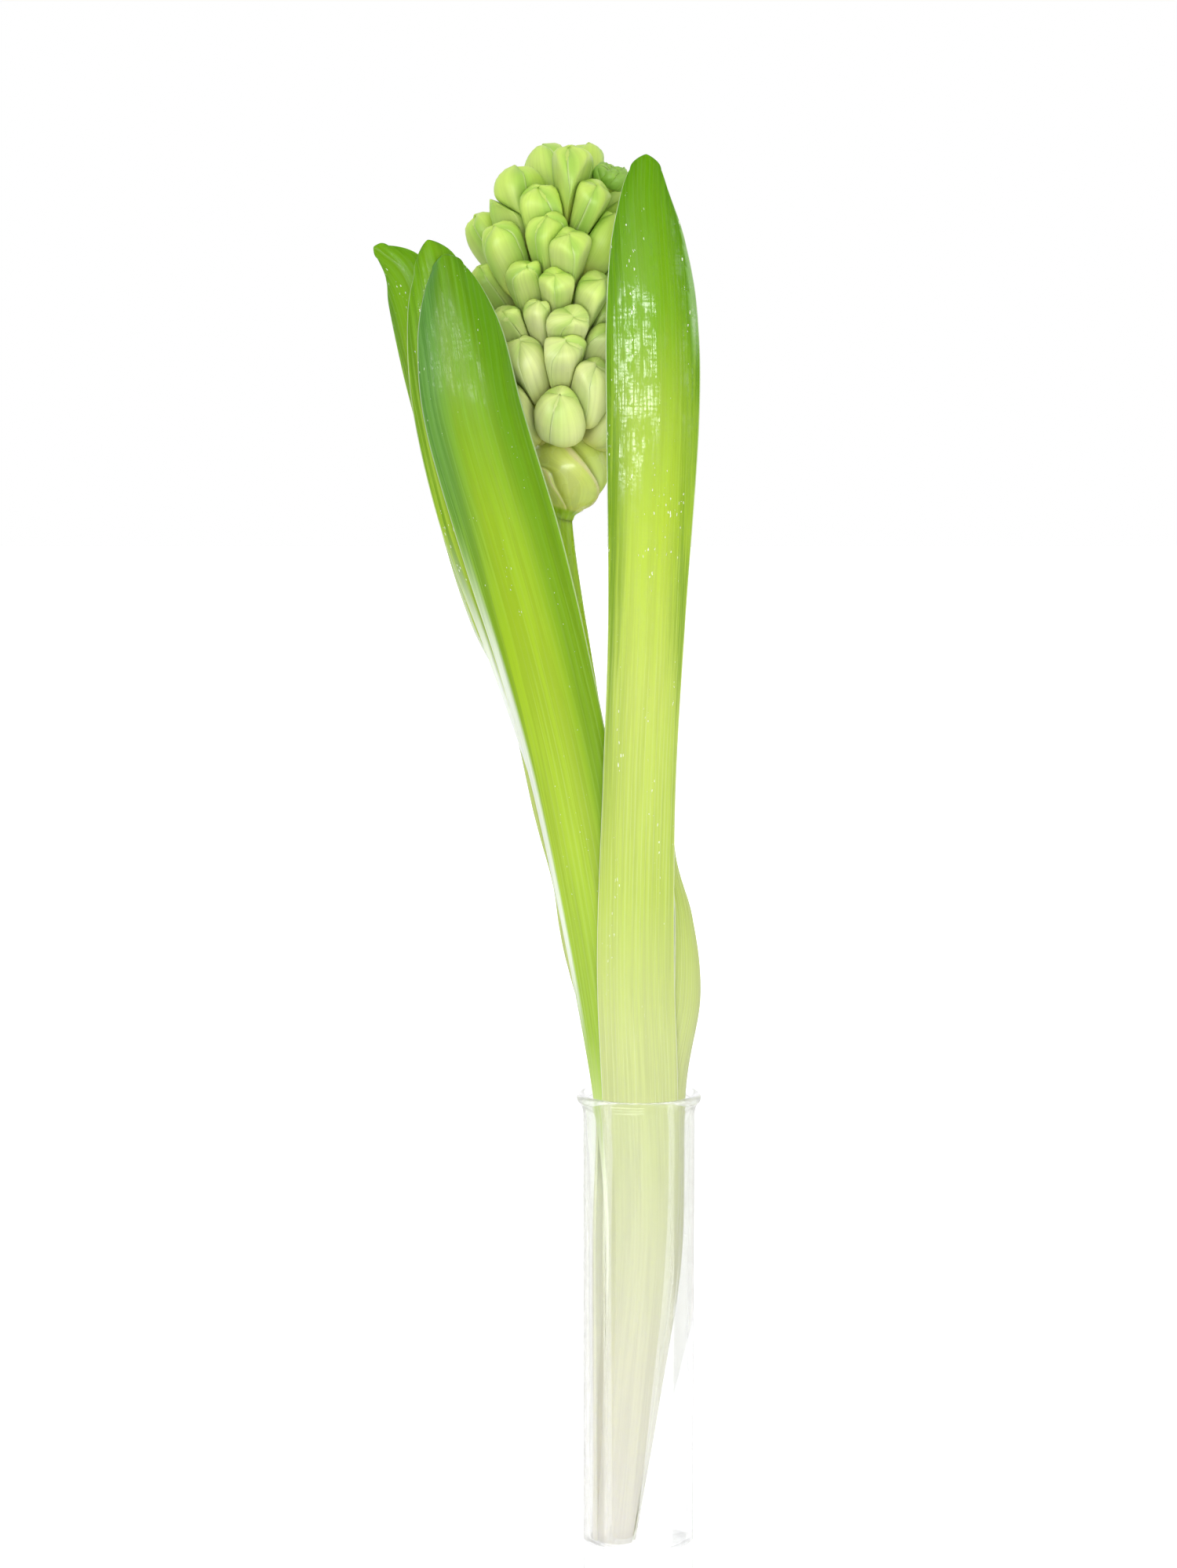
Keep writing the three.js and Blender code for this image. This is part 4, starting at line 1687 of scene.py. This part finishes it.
@dataclass
class Head:
    """The flower head: buds pressed together round the upper end of the stalk."""

    gap: float = 0.06
    neighbour_reach: float = 18.0
    least_sideways: float = 3.0
    uplift: float = 30.0  # degrees that the lowest buds point above the rows' own rise
    uplift_heights: Span = (326.0, 300.0)  # millimetres, from none of it to all of it
    root_drop: float = 1.5  # how far below the bud's foot its pedicel leaves the stalk
    highest_root: float = 348.0
    stalk: Course = field(default_factory=lambda: Course(STALK))

    def axis_at(self, height: float, samples: int = 1200) -> np.ndarray:
        """The middle of the stalk at a height.

        Args:
            height: in millimetres.
            samples: how many places along the stalk it is read between.

        Returns:
            The point.
        """
        places = self.stalk.at(np.linspace(0, 1, samples))[:, :3]
        return np.array([np.interp(height, places[:, 2], places[:, k]) for k in range(3)])

    def seat(self, numbers: Sequence[float]) -> Seat:
        """A bud's seat.

        Args:
            numbers: its row of numbers.

        Returns:
            The seat.
        """
        turn, height, reach, rise, lean, length, width = numbers
        rise += self.uplift * float(smooth(*self.uplift_heights, height))
        out = outward(float(turn))
        up = np.array([math.sin(math.radians(lean)), 0.0, math.cos(math.radians(lean))])
        point = unit(out * math.cos(math.radians(rise)) + up * math.sin(math.radians(rise)))
        middle = self.axis_at(height) + out * reach
        middle[2] = height
        return Seat(middle, point, length, width)

    def seats(self) -> list[Seat]:
        """All the buds' seats: the front ones, their twins across the stalk and the top ones.

        Returns:
            The seats, in the order of the frame's nodes.
        """
        twins = [
            (row[0] + 180, row[1] + TWIN_LIFT, min(row[2], TWIN_REACH), *row[3:])
            for row in FRONT_BUDS
            if row[1] < TWIN_BELOW and abs(row[0]) < TWIN_TURN
        ]
        return [self.seat(row) for row in (*FRONT_BUDS, *twins, *TOP_BUDS)]

    def walls(self, one: Seat, seats: Sequence[Seat]) -> list[tuple[np.ndarray, np.ndarray]]:
        """The flat sides halfway to a bud's neighbours.

        Args:
            one: the bud's seat.
            seats: all the seats.

        Returns:
            A point on each side and its outward normal.
        """
        found = []
        for other in seats:
            apart = other.middle - one.middle
            if other is one or np.linalg.norm(apart) > self.neighbour_reach:
                continue
            along = unit(one.point + other.point)
            sideways = apart - along * dot(apart, along)
            normal = unit(sideways if np.linalg.norm(sideways) > self.least_sideways else apart)
            found.append(((one.middle + other.middle) / 2 - normal * self.gap / 2, normal))
        return found

    def build(self, finish: bpy.types.Material) -> list[bpy.types.Object]:
        """Makes all the buds.

        Args:
            finish: their material.

        Returns:
            The pieces.
        """
        seats = self.seats()
        pieces = []
        for index, one in enumerate(seats, start=1):
            foot = one.middle - one.point * one.length / 2
            root = self.axis_at(min(foot[2] - self.root_drop, self.highest_root))
            bud = Bud(one, self.walls(one, seats), root, seed=index)
            pieces.append(bud.build(f"bud_{index:02d}", f"floret_{index:02d}", finish))
        log.info("built %d buds", len(pieces))
        return pieces


@dataclass
class Knot:
    """The knot of tiny unopened buds at the end of the stalk, the lower ones the larger.

    They sit on a spiral whose first place, straight up, stays free.
    """

    middle: Triple = (-6.9, -4.8, 352.6)
    places: int = 15  # on the spiral
    first_seed: int = 200
    fall: float = 1.5  # how far the spiral comes down, in shares of the radius
    tilt: float = 0.5  # how much further up the buds point
    spread: Span = (1.44, 2.4)
    length: Span = (4.2, 5.4)
    width: Span = (3.0, 4.2)

    def build(self, finish: bpy.types.Material) -> bpy.types.Object:
        """Makes the knot.

        Args:
            finish: its material.

        Returns:
            The piece.
        """
        golden = math.pi * (3 - math.sqrt(5))
        middle = np.array(self.middle)
        mesher = Mesher()
        for k in range(1, self.places):
            share = k / self.places
            up = 1 - self.fall * share
            out = math.sqrt(max(0.0, 1 - up * up))
            point = unit(np.array([out * math.cos(k * golden), out * math.sin(k * golden), up + self.tilt]))
            spread, length, width = (
                low + (high - low) * share for low, high in (self.spread, self.length, self.width)
            )
            Bud(
                Seat(middle + point * spread, point, length, width),
                [],
                middle,
                seed=self.first_seed + k,
                columns=14,
                rows=10,
                margin=0.08,
                bulge=0.2,
                keel=0.04,
                thickness=0.1,
                knob=0.1,
            ).wrap(mesher)
        piece = mesher.piece("bud_knot", "floret_knot", "young_floret", finish)
        log.info("built the knot")
        return piece


# The stalk ----------------------------------------------------------------------------------


@dataclass
class Stalk:
    """The stalk, which swells into the scaly foot of the head and runs on as its axis."""

    columns: int = 130
    rows: int = 320
    scales: int = 5  # thin scales that wrap the flare, each over the next
    scale_depth: float = 0.7
    scale_lean: float = 0.11  # radians that a scale's edge turns for each millimetre up
    lean_at: float = 280.0  # the height at which the edges start their turn
    lean_reach: Span = (-10.0, 14.0)  # how far below and above it they turn
    sway: float = 0.1  # radians
    sway_rate: float = 0.6  # radians for each millimetre up
    flare_from: float = 4.5
    flutes: int = 19
    flute_depth: float = 0.012  # share of the radius
    flute_sway: float = 2.0  # radians that the flutes' wave strays
    flute_rate: float = 40.0  # of the straying, in radians from end to end
    tone_rate: float = 2.4  # radians from scale to scale
    girth: float = 26.0  # millimetres round the plain stalk
    course: Course = field(default_factory=lambda: Course(STALK))

    def scale(self, around: np.ndarray, along: np.ndarray) -> tuple[np.ndarray, ...]:
        """Where each place lies on the scales.

        Args:
            around: the share round the stalk.
            along: the share along it.

        Returns:
            How far over a scale from 0 to 1 at its edge, how flared, and which scale.
        """
        radius = self.course.at(along)[:, 3]
        widest = max(row[3] for row in STALK)
        flare = smooth(self.flare_from, widest, radius)
        return around * self.scales % 1, flare, np.floor(around * self.scales) % self.scales

    def place(self, around: np.ndarray, along: np.ndarray) -> np.ndarray:
        """The surface of the stalk.

        Args:
            around: the share round the stalk.
            along: the share along it.

        Returns:
            The points in millimetres.
        """
        numbers = self.course.at(along)
        heading = self.course.heading(along)
        front = np.array([0.0, -1.0, 0.0])
        front = unit(front - heading * dot(front, heading))
        side = np.cross(heading, front)
        height, turn = numbers[:, 2], FULL_TURN * around
        lean = self.scale_lean * np.clip(height - self.lean_at, *self.lean_reach)
        angle = turn - lean + self.sway * np.sin(self.sway_rate * height + 2 * turn)
        over, flare, _ = self.scale(around, along)
        stray = self.flute_sway * np.sin(along * self.flute_rate)
        fine = self.flute_depth * np.cos(angle * self.flutes + stray) * (1 - flare)
        radius = numbers[:, 3] * (1 + fine) + self.scale_depth * flare * (over**2 - 0.5)
        spoke = front * np.cos(angle)[:, None] + side * np.sin(angle)[:, None]
        return numbers[:, :3] + spoke * radius[:, None]

    def grain(self, around: np.ndarray, along: np.ndarray) -> np.ndarray:
        """Millimetres round and along the stalk, and its own number."""
        fold = np.abs(around - 0.5) * self.girth
        return np.stack([fold, self.course.lengths(along), np.full_like(along, 5.0)], -1)

    def share(self, around: np.ndarray, along: np.ndarray) -> np.ndarray:
        """How far over a scale, how flared, and a tone for the scale."""
        over, flare, which = self.scale(around, along)
        return np.stack([over, flare, 0.5 + 0.5 * np.sin(self.tone_rate * which)], -1)

    def build(self, finish: bpy.types.Material) -> bpy.types.Object:
        """Makes the stalk.

        Args:
            finish: its material.

        Returns:
            The piece.
        """
        mesher = Mesher()
        mesher.tube(self, self.columns, self.rows)
        piece = mesher.piece("scape", "flower_stem", "stem", finish)
        log.info("built the stalk")
        return piece


# The vase -----------------------------------------------------------------------------------


@dataclass
class TubeVase:
    """A glass tube with a rolled rim, which grows out of a solid round foot. In millimetres."""

    radius: float = 13.5
    wall: float = 1.5
    floor: float = 23.7
    floor_round: float = 1.8
    floor_rim: float = 2.0  # how far above the floor the straight wall ends
    floor_dish: float = 0.2  # how far the middle of the floor dips
    foot_flat: float = 0.6  # share of the foot's radius at which its underside has a ring of points
    foot_height: float = 6.0
    foot_round: float = 1.2
    neck: float = 2.0  # radius of the hollow where the tube meets the foot
    bead: float = 1.25
    rim_out: float = 0.3  # how far the middle of the rim stands out from the wall
    flare: float = 5.0
    outer_flare: Span = (0.5, 1.6)  # how far the wall turns out, and how far it ends below the rim
    inner_flare: Span = (0.55, 0.4)
    outer_rings: Triple = (0.35, 0.6, 0.8)  # shares of the way up the flare
    inner_rings: Triple = (0.75, 0.5, 0.2)
    rings: int = 12  # along each wall
    steps: int = 128

    def walls(self, radius: float, low: float, high: float) -> list[Span]:
        """Points up a straight wall, from its lower end to its upper one."""
        return [(radius, low + (high - low) * k / self.rings) for k in range(self.rings + 1)]

    def lip(self, radius: float, neck: float, turned: Span, shares: Sequence[float]) -> list[Span]:
        """Points where a wall turns out to the rim.

        Args:
            radius: the wall's.
            neck: the height at which it starts to turn.
            turned: how far it turns out, and how far it ends below the middle of the rim.
            shares: of the way up, in the order of the points.

        Returns:
            The points.
        """
        out, short = turned
        return [(radius + out * share**2, neck + (self.flare - short) * share) for share in shares]

    def profile(self) -> list[Span]:
        """The half-section, from the middle of the underside round to the middle of the floor.

        Returns:
            Pairs of radius and height.
        """
        _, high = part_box("vase")
        foot, height = high[0] / MM, high[2] / MM
        inner = self.radius - self.wall
        corner = foot - self.foot_round
        start = self.foot_height + self.neck
        rim = (self.radius + self.rim_out, height - self.bead)
        neck = rim[1] - self.flare
        points = [(0.0, 0.0), (foot * self.foot_flat, 0.0)]
        points += arc((corner, self.foot_round), self.foot_round, -90, 0)
        points += arc((corner, self.foot_height - self.foot_round), self.foot_round, 0, 90)
        points += arc((self.radius + self.neck, start), self.neck, 270, 180)
        points += self.walls(self.radius, start, neck)[1:]
        points += self.lip(self.radius, neck, self.outer_flare, self.outer_rings)
        points += arc(rim, self.bead, -60, 180)
        points += self.lip(inner, neck, self.inner_flare, self.inner_rings)
        points += self.walls(inner, self.floor + self.floor_rim, neck)[::-1]
        points += arc((inner - self.floor_round, self.floor + self.floor_round), self.floor_round, 0, -90)
        points += [(inner / 2, self.floor - self.floor_dish / 2), (0.0, self.floor - self.floor_dish)]
        return points

    def build(self, finish: bpy.types.Material) -> bpy.types.Object:
        """Makes the vase by spinning its half-section.

        Args:
            finish: its material.

        Returns:
            The piece.
        """
        mesher = Mesher()
        bm = mesher.bm
        verts = [bm.verts.new((radius * MM, 0, height * MM)) for radius, height in self.profile()]
        edges = [bm.edges.new(pair) for pair in zip(verts, verts[1:])]
        bmesh.ops.spin(
            bm,
            geom=verts + edges,
            cent=(0, 0, 0),
            axis=(0, 0, 1),
            angle=FULL_TURN,
            steps=self.steps,
            use_merge=True,
        )
        bmesh.ops.remove_doubles(bm, verts=bm.verts, dist=WELD)
        piece = mesher.piece("glass_tube", "vase", "glass", finish)
        log.info("built the vase")
        return piece


# The studio ---------------------------------------------------------------------------------


class Reach(Enum):
    """What a lamp lights."""

    ALL = "all"
    SHEEN = "sheen"  # only the gloss
    BODY = "body"  # only the matt colour


@dataclass(frozen=True)
class Lamp:
    """A soft lamp that faces the head, with its place and size in metres."""

    name: str
    at: Triple
    size: Span
    watts: float
    reach: Reach = Reach.ALL

    def hang(self, target: Vector) -> bpy.types.Object:
        """Hangs the lamp.

        Args:
            target: the point that it faces.

        Returns:
            The lamp.
        """
        data = bpy.data.lights.new(self.name, "AREA")
        data.shape = "RECTANGLE"
        data.size, data.size_y = self.size
        data.energy = self.watts
        lamp = bpy.data.objects.new(self.name, data)
        lamp.location = self.at
        lamp.rotation_euler = (target - Vector(self.at)).to_track_quat("-Z", "Y").to_euler()
        lamp.visible_diffuse = self.reach is not Reach.SHEEN
        lamp.visible_glossy = self.reach is not Reach.BODY
        bpy.context.scene.collection.objects.link(lamp)
        return lamp


@dataclass
class Studio:
    """A plain white floor, a white surround, soft lamps and the camera."""

    sensor: float = 36.0  # millimetres, for the longer side of the view
    lens: float = 85.308654  # millimetres
    camera_at: Triple = (-12.2, -886.6, 306.4)  # millimetres
    camera_dip: float = 6.2  # degrees
    clip: Span = (0.05, 50.0)  # metres
    head_at: Triple = (-0.01, 0.0, 0.29)  # metres
    floor_size: float = 6.0
    floor_drop: float = 0.3  # millimetres below the foot
    floor_white: float = 0.8
    floor_roughness: float = 0.8
    floor_glow: float = 0.6
    sky_tilt: float = 0.8  # how much of the surround's shading follows the height
    sky_depths: Span = (-0.6, 0.6)
    sky_glow: Span = (0.5, 1.0)  # from the front below to the back above
    sky_least: float = 0.75  # what it gives matt surfaces at least
    lamps: tuple[Lamp, ...] = (
        Lamp("key", (-0.55, -0.95, 0.62), (0.55, 0.5), 1.3),
        Lamp("fill", (0.9, -0.7, 0.5), (0.6, 0.8), 1.8),
        # The strip draws the sheen on the leaves, and the front lamp fills the gaps between the buds.
        Lamp("strip", (-0.4, -0.95, 0.19), (1.3, 0.2), 11.7, Reach.SHEEN),
        Lamp("front", (-0.15, -1.0, 0.3), (0.6, 0.6), 3.6, Reach.BODY),
    )

    def camera(self) -> None:
        """Sets the camera level with the head, looking slightly down."""
        data = bpy.data.cameras.new("camera")
        data.sensor_width = self.sensor
        data.lens = self.lens
        data.clip_start, data.clip_end = self.clip
        camera = bpy.data.objects.new("camera", data)
        camera.location = Vector(self.camera_at) * MM
        camera.rotation_euler = (math.radians(90 - self.camera_dip), 0, 0)
        bpy.context.scene.collection.objects.link(camera)
        bpy.context.scene.camera = camera

    def floor(self) -> None:
        """Lays the floor."""
        bm = bmesh.new()
        bmesh.ops.create_grid(bm, x_segments=4, y_segments=4, size=self.floor_size)
        bmesh.ops.translate(bm, verts=bm.verts, vec=(0, 0, -self.floor_drop * MM))
        mesh = bpy.data.meshes.new("floor")
        bm.to_mesh(mesh)
        bm.free()
        material, nodes, shader = new_material("white_floor")
        path = nodes.add("ShaderNodeLightPath").outputs
        seen = nodes.math("MAXIMUM", path["Is Camera Ray"], path["Is Transmission Ray"])
        nodes.feed(shader, {
            "Base Color": (self.floor_white, self.floor_white, self.floor_white, 1),
            "Roughness": self.floor_roughness,
            "Emission Color": (1, 1, 1, 1),
            "Emission Strength": nodes.times(seen, self.floor_glow),
        })
        mesh.materials.append(material)
        floor = bpy.data.objects.new("floor", mesh)
        bpy.context.scene.collection.objects.link(floor)

    def surround(self) -> None:
        """A white surround that is dimmer towards the front and below."""
        world = bpy.data.worlds.new("surround")
        bpy.context.scene.world = world
        world.use_nodes = True
        nodes = Tree(world.node_tree)
        way = nodes.add("ShaderNodeTexCoord").outputs["Generated"]
        split = nodes.add("ShaderNodeSeparateXYZ", {0: way}).outputs
        depth = nodes.math("MULTIPLY_ADD", split["Z"], self.sky_tilt, split["Y"])
        glow = nodes.step(depth, *self.sky_depths, self.sky_glow)
        path = nodes.add("ShaderNodeLightPath").outputs
        glow = nodes.math("MAXIMUM", glow, nodes.times(path["Is Diffuse Ray"], self.sky_least))
        glow = nodes.math("MAXIMUM", glow, path["Is Camera Ray"])
        nodes.feed(world.node_tree.nodes["Background"], {"Strength": glow, "Color": (1, 1, 1, 1)})

    def build(self) -> None:
        """Sets up everything round the object."""
        bpy.context.scene.view_settings.view_transform = "Standard"
        self.camera()
        self.floor()
        self.surround()
        for lamp in self.lamps:
            lamp.hang(Vector(self.head_at))


# Putting it together ------------------------------------------------------------------------

LIGHT_RUN = (
    (24, (217, 213, 203)),
    (70, (209, 208, 182)),
    (120, (195, 202, 148)),
    (150, (197, 208, 136)),
    (185, (184, 203, 96)),
    (235, (187, 205, 94)),
    (272, (176, 202, 60)),
    (300, (154, 186, 52)),
    (322, (118, 166, 22)),
    (359, (90, 144, 0)),
)
# The deep leaf's colours up to 112 mm are its pale blanched foot, painted lighter still to lift the shade
# between the leaves in the tube. The first of them is also the colour of its painted glow.
DEEP_RUN = (
    (24, (236, 234, 226)),
    (70, (238, 240, 222)),
    (112, (234, 243, 204)),
    (130, (190, 214, 120)),
    (150, (160, 192, 72)),
    (200, (166, 194, 60)),
    (245, (156, 187, 36)),
    (272, (146, 181, 30)),
    (300, (120, 164, 16)),
    (322, (98, 146, 10)),
    (340, (96, 146, 16)),
)


def build_leaves(effects: Effects) -> None:
    """Makes the five leaves.

    Args:
        effects: the shared groups.
    """
    light = LeafFinish(
        "light_leaf",
        LIGHT_RUN,
        fineness=1.5,
        contrast=0.06,
        drift=0.1,
        bloom_and_sheen_share=0.0,
        rim_share=0.6,
        lines=0.12,
        film=1.0,
    ).make(effects)
    # The deep and skinned leaves carry a painted glow on their blanched feet.
    deep = LeafFinish(
        "deep_leaf",
        DEEP_RUN,
        dark_side=0.6,
        skin_share=0.8,
        specks=0.65,
        film=0.2,
        glow=0.25,
    ).make(effects)
    skinned = LeafFinish(
        "skinned_leaf",
        LIGHT_RUN,
        bloom_and_sheen_share=0.0,
        skin_share=0.9,
        film=0.2,
        glow=0.25,
    ).make(effects)
    fold = Fold(Side.RIGHT, low=0.667, high=0.85, depth=0.24, angle=56)
    leaves = (
        ("front_right", FRONT_RIGHT, {"folds": (fold,)}, light),
        ("front_left", FRONT_LEFT, {"keel": 13, "keel_from": 0.68, "hood": 14}, deep),
        ("back_left", BACK_LEFT, {"keel": 8, "keel_from": 0.7, "hood": 10}, skinned),
        ("far_left", FAR_LEFT, {"keel": 10, "keel_from": 0.3}, skinned),
        ("back_right", BACK_RIGHT, {}, light),
    )
    for seed, (name, stations, form, finish) in enumerate(leaves, start=1):
        Leaf(f"blade_{name}", f"leaf_{name}", stations, seed=seed, **form).build(finish)
        log.info("built leaf %s", name)


def main() -> None:
    """Builds the studio and the object, and reports each piece."""
    logging.basicConfig(level=logging.INFO)
    Studio().build()
    effects = Effects(VeinPattern().make(), SpeckPattern().make(), FilmPattern().make())
    TubeVase().build(GlassFinish().make())
    Stalk().build(StalkFinish().make(effects))
    build_leaves(effects)
    Head().build(TepalFinish("tepals").make(effects))
    Knot().build(TepalFinish("young_tepals", low=(150, 190, 84), high=(140, 182, 76)).make(effects))


if __name__ == "__main__":
    main()
